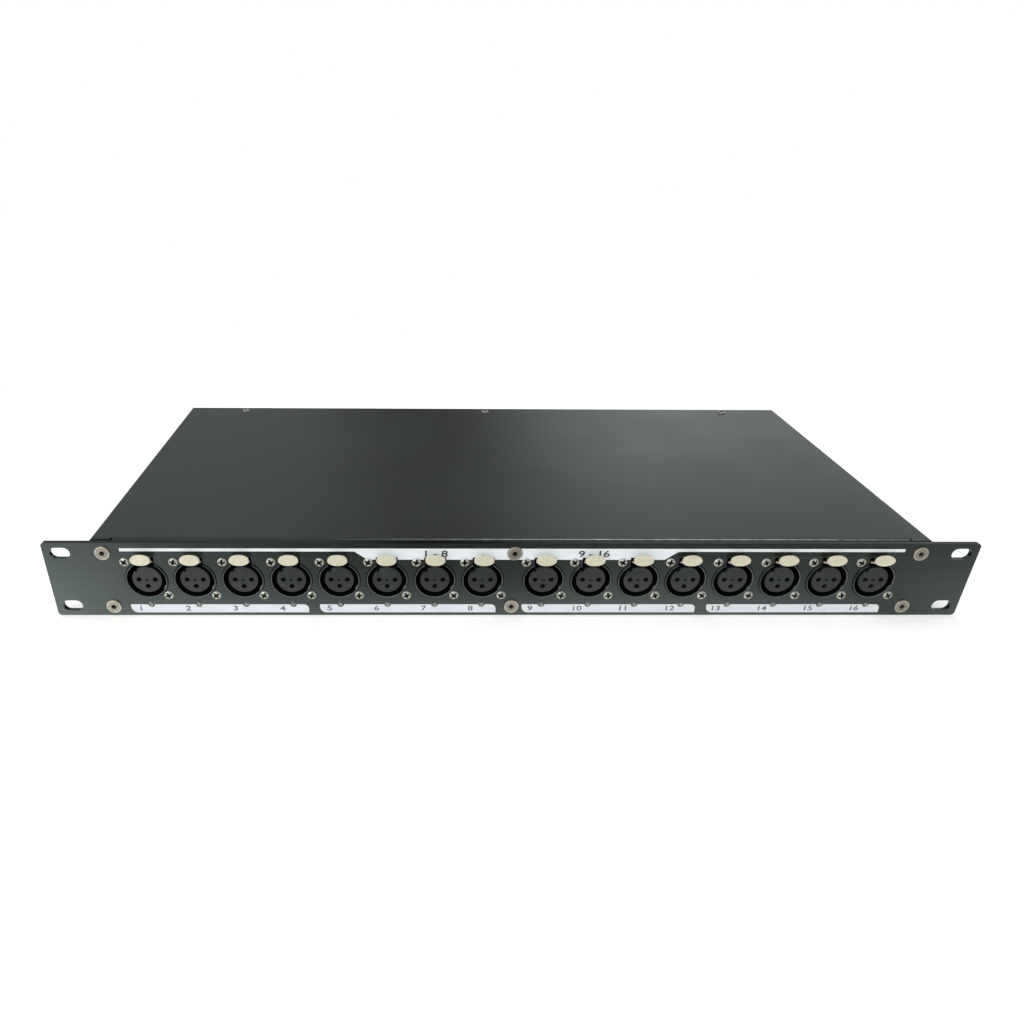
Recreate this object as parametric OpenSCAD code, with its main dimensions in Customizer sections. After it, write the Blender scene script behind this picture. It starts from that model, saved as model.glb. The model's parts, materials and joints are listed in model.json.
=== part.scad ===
// Rack-mounted data splitter: sixteen output sockets on a one-unit panel, with a
// steel case behind it. Millimetres. X runs along the panel, Y to the rear, Z up.
// The origin is the centre of the four rack slots, on the rear face of the panel.

/* [Front panel] */
// Width of the panel over both rack ears
panel_w = 482.6; // [481:0.1:484]
// Height of the panel
panel_h = 44; // [43.4:0.1:44.4]
// Thickness of the panel plate
panel_t = 2.5; // [2:0.1:3.5]
// Radius of the panel's corners
panel_corner_r = 2; // [1:0.5:5]
// Distance from the left rack slots to the right ones
slot_pitch_x = 465.1; // [463:0.1:467]
// Distance from the lower rack slots to the upper ones
slot_pitch_z = 31.75; // [30:0.05:33]
// Length of a rack slot, along the panel
slot_length = 10.3; // [8:0.1:11]
// Height of a rack slot
slot_height = 6.4; // [5.5:0.1:7]

/* [Panel screws] */
// Distance of the outer panel screws from the side of the case
panel_screw_inset = 7.9; // [6.5:0.1:8.5]
// Height of the panel screws above and below the middle
panel_screw_z = 16.2; // [16:0.1:16.6]
// Radius of the flat screw head
panel_screw_head_r = 3.9; // [3.6:0.05:4.4]
// Thickness of the flat screw head
panel_screw_head_t = 0.9; // [0.8:0.1:1.5]
// Radius of the panel screw's shank
panel_screw_r = 2; // [1.5:0.1:2.2]
// Diameter of the clinch nuts behind the front wall
clinch_nut_d = 7; // [6.4:0.1:7.2]
// Thickness of the clinch nuts
clinch_nut_t = 3; // [2:0.1:4]

/* [Case] */
// Width of the case
case_w = 437.5; // [434:0.5:440]
// Depth of the case behind the panel
case_depth = 208; // [200:1:260]
// Step from the top of the panel down to the cover
cover_drop = 0.4; // [0.2:0.1:1]
// Thickness of the folded steel sheet
sheet_t = 1.2; // [1:0.1:1.4]
// Gap between the tray and the cover where they pass each other
sheet_gap = 0.2; // [0.1:0.05:0.3]
// Inside radius of the bends
bend_in = 0.8; // [0.4:0.1:1.2]
// How far the cover's front lip hangs down behind the front wall
lip_drop = 3; // [2.4:0.1:3.4]
// Distance of the lip's ends from the sides of the case
lip_inset = 12; // [10:0.5:14]
// Width of the relief slots at the ends of the lip
relief_w = 1; // [0.8:0.1:3]
// Length of the tray's rear flange that takes the cover screws
rear_flange = 12; // [10:0.5:16]
// Height of the tray's side upstands
upstand_h = 8; // [5:0.5:12]
// Distance of the cover screws from the rear edge
cover_screw_inset = 6.3; // [4.5:0.1:6.5]
// Distance of the outer cover screws from the middle
cover_screw_x = 177; // [120:1:190]

/* [Output sockets] */
// Output sockets in each half of the panel
outputs_per_side = 8; // [4:1:8]
// Distance from one output socket to the next
output_pitch = 25; // [24.8:0.1:25.2]
// Distance of the innermost sockets from the middle
first_output_x = 16; // [15.9:0.1:17]
// Gap between the bodies of neighbouring sockets
body_gap = 0.6; // [0.4:0.1:1]
// Height of the socket body above its axis
body_top = 17; // [16.6:0.1:17.2]
// Depth of the socket body below its axis
body_bottom = 12.8; // [12:0.1:12.9]
// Length of the socket body behind the panel
body_depth = 17.5; // [16:0.1:20]
// Outer radius of the ring that shows through the panel
ring_r = 11.05; // [11:0.05:11.25]
// Gap between the ring and the hole in the panel
ring_gap = 0.2; // [0.1:0.05:0.3]
// How far the ring stands out of the panel
ring_proud = 0.6; // [0.3:0.1:1.2]
// Radius of the socket's mouth
mouth_r = 10.1; // [9.9:0.05:10.3]
// Thickness of the wall at the bottom of the mouth
mouth_floor = 3; // [2:0.1:4]
// Radius of the contact carrier in the mouth
insert_r = 7.65; // [7.3:0.05:7.8]
// How far the carrier's face lies behind the ring's lip
insert_recess = 1; // [0.5:0.1:2]
// Gap between the carrier and the body around it
insert_gap = 0.05; // [0.02:0.01:0.1]
// Radius of the carrier's rear flange
insert_flange_r = 9; // [8.5:0.1:9.6]
// Thickness of the carrier's rear flange
insert_flange_t = 1.5; // [1:0.1:2.5]
// Sideways distance of the two upper contacts from the axis
contact_x = 4.2; // [3.8:0.1:4.4]
// Distance of the lower contact below the axis
contact_z = 4; // [3.6:0.1:4.4]
// Radius of the contact holes
contact_hole_r = 1.3; // [1.2:0.05:1.4]
// How far the contacts lie behind the carrier's face
contact_recess = 3; // [1:0.5:5]

/* [Socket screws] */
// Sideways place of a socket's upper screw
upper_screw_x = -9.7; // [-10:0.1:-9.4]
// Height of a socket's upper screw
upper_screw_z = 10.9; // [10.8:0.1:12]
// Sideways place of a socket's lower screw
lower_screw_x = 10.1; // [10:0.1:10.3]
// Height of a socket's lower screw
lower_screw_z = -9.2; // [-9.6:0.1:-9.1]
// Radius of the socket screw's head
socket_screw_head_r = 2.4; // [2.1:0.1:2.4]
// Height of the socket screw's head
socket_screw_head_t = 1.3; // [1:0.1:1.6]
// Radius of the socket screw's shank
socket_screw_r = 1.3; // [1:0.1:1.4]
// Length of the socket screw's shank
socket_screw_l = 11; // [8:0.5:14]

/* [Latches] */
// Width of the oval push tab
tab_w = 10.2; // [9.6:0.1:10.6]
// Height of the oval push tab
tab_h = 5.9; // [5.6:0.1:6.8]
// Thickness of the push tab
tab_t = 1; // [0.8:0.1:1.2]
// Height of the tab's middle above the socket axis
tab_z = 14; // [13.8:0.1:14.4]
// How far the tab's face stands out of the panel
tab_proud = 4.3; // [4:0.1:5]
// Width of the lever behind the tab
lever_w = 9.2; // [9:0.1:9.8]
// Sheet thickness of the lever
lever_t = 0.8; // [0.6:0.1:0.9]
// Gap between the lever and the mouth below it
lever_lift = 0.35; // [0.3:0.05:0.5]
// Distance of the latch pin behind the panel
latch_pin_y = 2.6; // [2.4:0.1:3]
// Height of the latch pin above the socket axis
latch_pin_z = 12.9; // [12.7:0.1:13.1]
// Radius of the latch pin
latch_pin_r = 0.6; // [0.5:0.05:0.7]
// Gap between the latch pin and the lever's ears
latch_pin_gap = 0.05; // [0.03:0.01:0.08]
// Distance of the catch nose behind the pin
nose_reach = 6.8; // [6:0.1:7.4]
// How far the catch nose hangs below the lever
nose_drop = 1; // [0.6:0.1:1.2]
// Side gap between the lever and its channel
channel_gap = 0.6; // [0.4:0.1:0.8]
// Thickness of the latch spring's square wire
spring_wire = 0.36; // [0.3:0.01:0.4]
// Turns of the latch spring
spring_turns = 6; // [4:1:7]

/* [Indicators] */
// Radius of an indicator lamp
led_r = 1.5; // [1.4:0.05:1.6]
// Depth of the indicator lamps below the socket axis
led_z = 15; // [14.9:0.1:15.2]
// How far a lamp's dome stands out of the panel
led_proud = 1.1; // [0.6:0.1:1.6]
// Gap between a lamp and its hole
led_gap = 0.1; // [0.05:0.05:0.2]
// Radius of the collar at the foot of a lamp
led_collar_r = 1.85; // [1.8:0.05:1.9]
// Thickness of the collar at the foot of a lamp
led_collar_t = 1; // [0.8:0.1:1.5]

/* [Circuit boards] */
// Thickness of the circuit boards
board_t = 1.6; // [1.2:0.1:2]
// Gap between the contact carriers and the output boards
output_board_gap = 1.2; // [0.3:0.1:3]
// Height of the output boards above the socket axis
output_board_top = 17; // [15:0.5:18]
// Depth of the output boards below the socket axis
output_board_bottom = 18.5; // [18:0.1:19]
// Width of the main board
main_board_w = 240; // [220:1:250]
// Depth of the main board
main_board_d = 100; // [90:1:104]
// Sideways place of the main board's middle
main_board_x = -70; // [-80:1:-66]
// Place of the main board's middle behind the panel
main_board_y = 108; // [104:1:112]
// Width of the power supply board
supply_board_w = 120; // [112:1:124]
// Depth of the power supply board
supply_board_d = 84; // [80:1:90]
// Sideways place of the power supply board's middle
supply_board_x = 130; // [126:1:134]
// Place of the power supply board's middle behind the panel
supply_board_y = 100; // [90:1:104]
// Height of the standoffs under the boards
standoff_h = 6; // [4:0.5:8]
// Width across the flats of the standoffs
standoff_flats = 5.5; // [5:0.1:6.5]
// Distance of the standoffs from the edges of the boards
standoff_inset = 5; // [4:0.5:7]
// Sideways place of the transformer on its board
transformer_x = 26; // [20:1:30]
// Sideways place of the first capacitor on its board
capacitor_x = -38; // [-44:1:-34]
// Place of the capacitors on their board, forward of its middle
capacitor_y = -18; // [-22:1:-14]
// Distance from one capacitor to the next
capacitor_pitch = 16; // [14:0.5:18]
// Radius of the capacitors
capacitor_r = 6.5; // [5:0.1:6.8]
// Height of the capacitors
capacitor_h = 20; // [14:0.5:24]

/* [Small screws] */
// Radius of the small screws' heads
small_screw_head_r = 2.6; // [2.4:0.05:2.9]
// Height of the small screws' heads
small_screw_head_t = 1.3; // [1.2:0.1:2]
// Radius of the small screws' shanks
small_screw_r = 1.5; // [1.2:0.1:1.6]
// Length of the small screws' shanks
small_screw_l = 6; // [5:0.5:8]
// Gap around a screw in its hole
screw_gap = 0.1; // [0.05:0.05:0.2]

/* [Input sockets] */
// Number of input sockets on the rear
input_count = 4; // [1:1:4]
// Distance from one input socket to the next
input_pitch = 34; // [30:0.5:38]
// Sideways place of the first input socket
input_x = -178; // [-182:1:-172]
// Width of an input socket's flange
input_flange_w = 26; // [25.5:0.1:28]
// Height of an input socket's flange
input_flange_h = 31; // [30.5:0.1:33]
// Thickness of an input socket's flange
input_flange_t = 2; // [1.6:0.1:2.6]
// Radius of the corners of an input socket's flange
input_flange_corner_r = 3; // [2:0.1:4]
// Outer radius of an input socket's cup
cup_r = 11.6; // [11.3:0.1:11.8]
// Inner radius of an input socket's cup
cup_mouth_r = 9.75; // [9.6:0.05:10]
// Length of an input socket's cup inside the case
cup_l = 17; // [15:0.5:20]
// Thickness of the cup's floor
cup_floor = 2.5; // [2:0.1:4]
// Radius of the input socket's pins
input_pin_r = 1.2; // [1:0.05:1.3]
// Sideways place of the input flange's screws
input_screw_x = 9.5; // [9.3:0.1:9.8]
// Height of the input flange's screws
input_screw_z = 12; // [11.8:0.1:12.2]

/* [Mains inlet] */
// Sideways place of the mains inlet
inlet_x = 172; // [165:1:180]
// Height of the inlet cavity's middle above the middle of the case
inlet_z = 4; // [3:0.1:5]
// Width of the inlet's flange
inlet_flange_w = 50; // [49:0.5:54]
// Height of the inlet's flange
inlet_flange_h = 32; // [31.5:0.5:34]
// Thickness of the inlet's flange
inlet_flange_t = 2.6; // [2:0.1:3.5]
// Distance between the inlet's screws
inlet_screw_pitch = 40; // [38:0.5:42]
// Width of the inlet's cavity
inlet_cavity_w = 24.6; // [24:0.1:25.5]
// Height of the inlet's cavity
inlet_cavity_h = 16.8; // [16:0.1:17.2]
// Depth of the inlet's cavity
inlet_cavity_d = 17; // [15:0.5:19]
// Wall of the inlet's body
inlet_wall = 1.8; // [1.5:0.1:2]
// Height of the fuse drawer
drawer_h = 6.6; // [6.2:0.1:7]
// Gap between the fuse drawer and its well
drawer_gap = 0.25; // [0.15:0.05:0.3]
// Length of the fuse drawer
drawer_l = 17; // [15:0.5:18]
// Width of the fuse drawer
drawer_w = 24; // [23:0.5:24.4]
// Radius of the fuse
fuse_r = 2.5; // [2.2:0.1:2.6]
// Length of the fuse
fuse_l = 20; // [18:0.5:20.5]

/* [Power switch] */
// Sideways place of the power switch
switch_x = 124; // [118:1:130]
// Width of the switch's bezel
bezel_w = 15; // [14.5:0.1:17]
// Height of the switch's bezel
bezel_h = 21; // [20.5:0.1:23]
// Thickness of the switch's bezel
bezel_t = 2; // [1.6:0.1:2.6]
// Width of the rocker
rocker_w = 10; // [9.6:0.1:10.4]
// Length of the rocker
rocker_l = 16; // [15:0.1:16.4]
// Gap between the rocker and the bezel
rocker_gap = 0.4; // [0.3:0.05:0.6]
// Tilt of the rocker from its middle position, in degrees
rocker_tilt = 10; // [6:1:11]
// Radius of the rocker's trunnions
trunnion_r = 1.2; // [1:0.1:1.4]

/* [Hidden] */
two_digits = ["00", "01", "02", "03", "04", "05", "06", "07", "08", "09", "10", "11", "12", "13", "14", "15", "16"];
outputs = 2 * outputs_per_side;
shell_names = [for (i = [1:outputs]) str("socket_shell_", two_digits[i])];
latch_names = [for (i = [1:outputs]) str("socket_latch_", two_digits[i])];

fine = 48;
cut = 0.5;
face_y = -panel_t;

// The case
case_bottom = -panel_h / 2;
case_top = panel_h / 2 - cover_drop;
cover_under = case_top - sheet_t;
bend_out = bend_in + sheet_t;
tray_w = case_w - 2 * (sheet_t + sheet_gap);
tray_floor = case_bottom + sheet_t;
front_wall_top = cover_under - sheet_gap;
lip_y = sheet_t + sheet_gap;
lip_run = bend_out + 0.8;
rear_y = case_depth;
cover_screw_y = case_depth - cover_screw_inset;
panel_screw_x = case_w / 2 - panel_screw_inset;
panel_screw_places = [for (x = [-panel_screw_x, 0, panel_screw_x], z = [-1, 1]) [x, z * panel_screw_z]];
panel_screw_l = panel_t + sheet_t + clinch_nut_t;

// The output sockets
body_w = output_pitch - body_gap;
row_half = first_output_x + (outputs_per_side - 1) * output_pitch + body_w / 2;
window_margin = 0.5;
centre_strip = first_output_x - body_w / 2 - window_margin;
insert_face_y = face_y - ring_proud + insert_recess;
mouth_end_y = body_depth - mouth_floor;
contact_places = [[-contact_x, 0], [contact_x, 0], [0, -contact_z]];
contact_tail_r = 0.45;
output_board_y = body_depth + insert_flange_t + output_board_gap;
tail_l = output_board_gap + board_t + 1.2;

// The latches
lever_z = mouth_r + lever_lift;
tab_back_y = face_y - tab_proud + tab_t;
ear_r = 1.2;
channel_w = lever_w + 2 * channel_gap;
channel_top = latch_pin_z + ear_r + 0.9;
channel_end = latch_pin_y + nose_reach + 1.6;
spring_in_r = latch_pin_r + 0.1;
spring_slit = 0.08;
spring_pitch = spring_wire + spring_slit;
spring_half = spring_turns * spring_pitch / 2;
spring_leg = 2.6;
notch_gap = 0.15;

// Boards and their standoffs
board_z = tray_floor + standoff_h;
chip_l = 9.6;
chip_w = 6.4;
chip_h = 3.3;
chip_lift = 0.3;
chip_pitch = 13;

// Mains inlet and fuse drawer
inlet_body_w = inlet_cavity_w + 2 * inlet_wall;
inlet_body_h = inlet_cavity_h + 3 * inlet_wall + drawer_h + 2 * drawer_gap;
inlet_top = inlet_z + inlet_cavity_h / 2 + inlet_wall;
inlet_mid_z = inlet_top - inlet_body_h / 2;
inlet_body_l = inlet_cavity_d + inlet_wall;
well_z = inlet_top - 2 * inlet_wall - inlet_cavity_h - drawer_gap - drawer_h / 2;
inlet_face_y = rear_y + inlet_flange_t;
blade_w = 4;
blade_t = 2;
blade_pitch = 7;
blade_rise = 4;
blade_l = 15;
blade_tag = 6;

// Power switch
rocker_r = rocker_l / 2 + 0.1;
rocker_room = rocker_r + rocker_gap;
switch_body_l = 16;
switch_tag_z = 5;
rocker_y = rear_y + bezel_t - 1.6;
switch_floor_y = rocker_y - 6.4;

function output_x(i) = i <= outputs_per_side
    ? -first_output_x - (outputs_per_side - i) * output_pitch
    : first_output_x + (i - outputs_per_side - 1) * output_pitch;
function input_place(i) = input_x + (i - 1) * input_pitch;
function oval(w, h, power, steps) = [
    for (k = [0:steps - 1]) let (a = 360 * k / steps, c = cos(a), s = sin(a))
        [w / 2 * sign(c) * pow(abs(c), 2 / power), h / 2 * sign(s) * pow(abs(s), 2 / power)]
];
function corners(w, d) = [for (sx = [-1, 1], sy = [-1, 1]) [sx * w / 2, sy * d / 2]];

// An outline in X and Z, drawn out from y0 to y1
module along_y(y0, y1) {
    translate([0, y1, 0]) rotate([90, 0, 0]) linear_extrude(y1 - y0) children();
}

// An outline in Y and Z, drawn out to both sides of X = 0
module along_x(w) {
    rotate([90, 0, 90]) linear_extrude(w, center = true) children();
}

// An outline of radius and distance forward, turned about the Y axis
module about_y() {
    rotate([90, 0, 0]) rotate_extrude($fn = fine) children();
}

module rod_y(r, y0, y1) {
    along_y(y0, y1) circle(r, $fn = fine);
}

module rod_x(r, w) {
    rotate([0, 90, 0]) cylinder(r = r, h = w, center = true, $fn = fine);
}

// A rectangle from one corner to the other with round corners
module round_box(x0, y0, x1, y1, r) {
    translate([x0 + r, y0]) square([x1 - x0 - 2 * r, y1 - y0]);
    translate([x0, y0 + r]) square([x1 - x0, y1 - y0 - 2 * r]);
    for (x = [x0 + r, x1 - r], y = [y0 + r, y1 - r]) translate([x, y]) circle(r, $fn = fine);
}

module round_plate(w, h, r) {
    round_box(-w / 2, -h / 2, w / 2, h / 2, r);
}

module slot_outline(l, h) {
    square([l - h, h], center = true);
    for (s = [-1, 1]) translate([s * (l - h) / 2, 0]) circle(h / 2, $fn = fine);
}

module at_outputs() {
    for (i = [1:outputs]) translate([output_x(i), 0, 0]) children();
}

// The head of a pan-headed screw that faces forward, with its cross recess
module pan_head(r, t) {
    crown = t * 0.45;
    recess = 0.62 * t;
    difference() {
        about_y() {
            square([r, t - crown]);
            intersection() {
                translate([0, t - crown - (r * r - crown * crown) / (2 * crown)])
                    circle((r * r + crown * crown) / (2 * crown), $fn = 2 * fine);
                square([r, t]);
            }
        }
        along_y(-t - cut, -t + recess) square([1.15 * r, 0.24 * r], center = true);
        along_y(-t - cut, -t + recess) square([0.24 * r, 1.15 * r], center = true);
    }
}

module small_screw() {
    color([0.72, 0.72, 0.7]) {
        pan_head(small_screw_head_r, small_screw_head_t);
        rod_y(small_screw_r, -0.01, small_screw_l);
    }
}

module output_hole() {
    circle(ring_r + ring_gap, $fn = 2 * fine);
    translate([-channel_w / 2 - notch_gap, 0]) square([channel_w + 2 * notch_gap, latch_pin_z + 0.6]);
}

// The brushed plate with its rack slots, socket holes, lamp holes and screw holes
module front_panel() {
    color([0.13, 0.14, 0.14])
    difference() {
        along_y(face_y, 0) round_plate(panel_w, panel_h, panel_corner_r);
        for (x = [-1, 1], z = [-1, 1])
            translate([x * slot_pitch_x / 2, 0, z * slot_pitch_z / 2])
                along_y(face_y - cut, cut) slot_outline(slot_length, slot_height);
        at_outputs() {
            along_y(face_y - cut, cut) output_hole();
            translate([upper_screw_x, 0, upper_screw_z]) rod_y(socket_screw_r + screw_gap, face_y - cut, cut);
            translate([lower_screw_x, 0, lower_screw_z]) rod_y(socket_screw_r + screw_gap, face_y - cut, cut);
            translate([0, 0, -led_z]) rod_y(led_r + led_gap, face_y - cut, cut);
        }
        for (p = panel_screw_places)
            translate([p[0], 0, p[1]]) rod_y(panel_screw_r + screw_gap, face_y - cut, cut);
    }
}

module tray_section() {
    intersection() {
        difference() {
            round_box(0, case_bottom, 2 * case_depth, cover_under + 3 * bend_out, bend_out);
            round_box(sheet_t, tray_floor, 3 * case_depth, cover_under + 4 * bend_out, bend_in);
        }
        translate([0, case_bottom]) square([case_depth, front_wall_top - case_bottom]);
    }
}

// The rear wall with a flange on the tray's floor and another under the cover
module rear_section() {
    intersection() {
        difference() {
            round_box(0, tray_floor, case_depth, cover_under, bend_out);
            round_box(0, tray_floor + sheet_t, case_depth - sheet_t, cover_under - sheet_t, bend_in);
        }
        translate([case_depth - rear_flange, tray_floor]) square([rear_flange, cover_under - tray_floor]);
    }
}

// One of the two openings in the tray's front wall that the socket bodies pass through
module body_window() {
    low = -led_z - led_collar_r - 0.4;
    round_box(centre_strip, low, row_half + window_margin, body_top + window_margin, 1);
}

module board_standoffs(x, y, w, d) {
    for (p = corners(w - 2 * standoff_inset, d - 2 * standoff_inset))
        translate([x + p[0], y + p[1], tray_floor])
            cylinder(d = standoff_flats / cos(30), h = standoff_h, $fn = 6);
}

module board_screw_holes(x, y, w, d, z0, z1) {
    for (p = corners(w - 2 * standoff_inset, d - 2 * standoff_inset))
        translate([x + p[0], y + p[1], z0]) cylinder(r = small_screw_r + screw_gap, h = z1 - z0, $fn = fine);
}

module input_wall_cuts() {
    for (i = [1:input_count]) translate([input_place(i), 0, 0]) {
        rod_y(cup_r + screw_gap, rear_y - 2 * sheet_t, rear_y + cut);
        for (s = [-1, 1]) translate([s * input_screw_x, 0, s * input_screw_z])
            rod_y(small_screw_r + screw_gap, rear_y - 2 * sheet_t, rear_y + cut);
    }
}

module inlet_wall_cuts() {
    translate([inlet_x, 0, 0]) {
        along_y(rear_y - 2 * sheet_t, rear_y + cut) translate([0, inlet_mid_z])
            square([inlet_body_w + 2 * screw_gap, inlet_body_h + 2 * screw_gap], center = true);
        for (s = [-1, 1]) translate([s * inlet_screw_pitch / 2, 0, inlet_mid_z])
            rod_y(small_screw_r + screw_gap, rear_y - 2 * sheet_t, rear_y + cut);
    }
}

module switch_wall_cut() {
    translate([switch_x, 0, 0]) along_y(rear_y - 2 * sheet_t, rear_y + cut)
        square([bezel_w - 2 + 2 * screw_gap, bezel_h - 2 + 2 * screw_gap], center = true);
}

// Folded base with its front wall and side upstands
module chassis_tray() {
    upstand_l = case_depth - 2 * rear_flange;
    color([0.2, 0.21, 0.21])
    difference() {
        union() {
            along_x(tray_w) tray_section();
            for (s = [-1, 1])
                translate([s * (tray_w - sheet_t) / 2, case_depth / 2, tray_floor + upstand_h / 2 - cut / 2])
                    cube([sheet_t, upstand_l, upstand_h + cut], center = true);
        }
        for (s = [0, 1]) mirror([s, 0, 0]) along_y(-cut, sheet_t + cut) body_window();
        for (p = panel_screw_places)
            translate([p[0], 0, p[1]]) rod_y(panel_screw_r + screw_gap, -cut, sheet_t + cut);
    }
}

// Folded rear wall, welded to the tray's floor, with the cuts for everything mounted in it
module rear_panel() {
    color([0.2, 0.21, 0.21])
    difference() {
        along_x(tray_w) rear_section();
        for (x = [-cover_screw_x, 0, cover_screw_x])
            translate([x, cover_screw_y, cover_under - 2 * sheet_t])
                cylinder(r = small_screw_r + screw_gap, h = 4 * sheet_t, $fn = fine);
        for (s = [-1, 1]) translate([s * tray_w / 2, case_depth, cover_under])
            cube([2 * bend_in, 2 * rear_flange + cut, 2 * bend_in], center = true);
        input_wall_cuts();
        inlet_wall_cuts();
        switch_wall_cut();
    }
}

// Clinch nuts behind the front wall, and clinch standoffs under the boards
module clinch_fasteners() {
    blind = 0.4;
    color([0.7, 0.7, 0.68]) {
        for (p = panel_screw_places) translate([p[0], 0, p[1]]) difference() {
            rod_y(clinch_nut_d / 2, sheet_t, sheet_t + clinch_nut_t);
            rod_y(panel_screw_r + screw_gap, sheet_t - cut, sheet_t + clinch_nut_t + cut);
        }
        difference() {
            union() {
                board_standoffs(main_board_x, main_board_y, main_board_w, main_board_d);
                board_standoffs(supply_board_x, supply_board_y, supply_board_w, supply_board_d);
            }
            board_screw_holes(main_board_x, main_board_y, main_board_w, main_board_d,
                tray_floor + blind, board_z + cut);
            board_screw_holes(supply_board_x, supply_board_y, supply_board_w, supply_board_d,
                tray_floor + blind, board_z + cut);
        }
    }
}

module cover_section() {
    difference() {
        round_box(-case_w / 2, case_bottom - case_w, case_w / 2, case_top, bend_out);
        round_box(-case_w / 2 + sheet_t, case_bottom - 2 * case_w, case_w / 2 - sheet_t, cover_under, bend_in);
        translate([-case_w, case_bottom + sheet_gap - 3 * case_w]) square([2 * case_w, 3 * case_w]);
    }
}

module lip_section() {
    intersection() {
        difference() {
            round_box(lip_y, case_bottom, case_depth, case_top, bend_out);
            round_box(lip_y + sheet_t, case_bottom - bend_out, case_depth + bend_out, cover_under, bend_in);
        }
        translate([lip_y, case_top - lip_drop]) square([lip_run, lip_drop]);
    }
}

// Folded lid with both side walls and a front lip that hooks behind the front wall
module top_cover() {
    lip_w = case_w - 2 * lip_inset;
    nut_room = 1.5;
    color([0.24, 0.25, 0.25])
    difference() {
        union() {
            along_y(lip_y + lip_run, case_depth) cover_section();
            along_x(lip_w) lip_section();
            difference() {
                along_y(lip_y + sheet_t, lip_y + lip_run) cover_section();
                translate([-lip_w / 2 - relief_w, 0, cover_under - bend_out])
                    cube([lip_w + 2 * relief_w, lip_y + lip_run, 3 * bend_out]);
            }
        }
        translate([-clinch_nut_d / 2 - nut_room, 0, 0])
            cube([clinch_nut_d + 2 * nut_room, lip_y + bend_out, cover_under - 0.1]);
        for (x = [-cover_screw_x, 0, cover_screw_x])
            translate([x, cover_screw_y, cover_under - cut])
                cylinder(r = small_screw_r + screw_gap, h = sheet_t + 2 * cut, $fn = fine);
    }
}

// The rounded front ring of a socket, as radius and distance forward
module ring_profile() {
    lip_r = (ring_r - mouth_r) / 2;
    front = panel_t + ring_proud;
    translate([mouth_r, -cut]) square([ring_r - mouth_r, front - lip_r + cut]);
    translate([mouth_r + lip_r, front - lip_r]) circle(lip_r, $fn = fine);
}

module channel_cut() {
    along_y(face_y - ring_proud - cut, channel_end)
        translate([-channel_w / 2, mouth_r / 2]) square([channel_w, channel_top - mouth_r / 2]);
}

// Moulded socket body with its ring, mouth, latch channel and latch pin
module socket_shell(i) {
    color([0.05, 0.05, 0.055])
    translate([output_x(i), 0, 0]) {
        difference() {
            union() {
                along_y(0, body_depth) round_box(-body_w / 2, -body_bottom, body_w / 2, body_top, 1.5);
                about_y() ring_profile();
            }
            rod_y(mouth_r, face_y - ring_proud - cut, mouth_end_y);
            rod_y(insert_r + insert_gap, mouth_end_y - cut, body_depth + cut);
            channel_cut();
            translate([upper_screw_x, 0, upper_screw_z]) rod_y(socket_screw_r + 0.02, -cut, socket_screw_l);
            translate([lower_screw_x, 0, lower_screw_z]) rod_y(socket_screw_r + 0.02, -cut, socket_screw_l);
        }
        translate([0, latch_pin_y, latch_pin_z]) rod_x(latch_pin_r, channel_w + 1);
    }
}

// Side view of the latch lever: arm, slope up to the tab and catch nose
module lever_profile() {
    slope_y = face_y + 0.3;
    tab_join = tab_z - 1.5;
    nose_y = latch_pin_y + nose_reach;
    polygon([
        [tab_back_y - 0.1, tab_join - lever_t / 2],
        [slope_y, lever_z],
        [nose_y - 1.8, lever_z],
        [nose_y - 0.6, lever_z - nose_drop],
        [nose_y, lever_z - nose_drop],
        [nose_y + 0.4, lever_z],
        [nose_y + 0.8, lever_z],
        [nose_y + 0.8, lever_z + lever_t],
        [slope_y + 0.3, lever_z + lever_t],
        [tab_back_y - 0.1, tab_join + lever_t / 2],
    ]);
}

module lever_ear() {
    translate([latch_pin_y, latch_pin_z]) circle(ear_r, $fn = fine);
    translate([latch_pin_y - ear_r, lever_z]) square([2 * ear_r, latch_pin_z - lever_z]);
}

// Push tab, lever and catch nose, stamped in one piece, that rocks on the latch pin
module socket_latch(i) {
    spring_room = 2 * spring_half + 0.6;
    color([0.86, 0.84, 0.74])
    translate([output_x(i), 0, 0]) {
        along_y(face_y - tab_proud, tab_back_y) translate([0, tab_z]) polygon(oval(tab_w, tab_h, 2.1, 40));
        difference() {
            union() {
                along_x(lever_w) lever_profile();
                along_x(lever_w) lever_ear();
            }
            translate([-spring_room / 2, latch_pin_y - 2 * ear_r, lever_z + lever_t])
                cube([spring_room, 4 * ear_r, 4 * ear_r]);
            translate([0, latch_pin_y, latch_pin_z]) rod_x(latch_pin_r + latch_pin_gap, lever_w + 1);
        }
    }
}

// Contact carriers with their holes, keyway and rear flange
module socket_inserts() {
    key_w = 1.7;
    key_angle = 40;
    color([0.09, 0.09, 0.1])
    at_outputs() difference() {
        union() {
            rod_y(insert_r, insert_face_y, body_depth);
            rod_y(insert_flange_r, body_depth, body_depth + insert_flange_t);
        }
        for (p = contact_places) translate([p[0], 0, p[1]])
            rod_y(contact_hole_r, insert_face_y - cut, body_depth + insert_flange_t + cut);
        rotate([0, -key_angle, 0]) translate([-key_w / 2, insert_face_y - cut, insert_r - 1])
            cube([key_w, mouth_end_y - insert_face_y, 2]);
        rod_y(0.9, insert_face_y - cut, insert_face_y + 0.7);
    }
}

module contact_sleeve() {
    sleeve_r = contact_hole_r - 0.02;
    back_y = body_depth + insert_flange_t;
    difference() {
        rod_y(sleeve_r, insert_face_y + contact_recess, back_y);
        rod_y(sleeve_r - 0.25, insert_face_y, back_y - 3);
    }
    rod_y(contact_tail_r, back_y - 1, back_y + tail_l);
}

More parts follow.
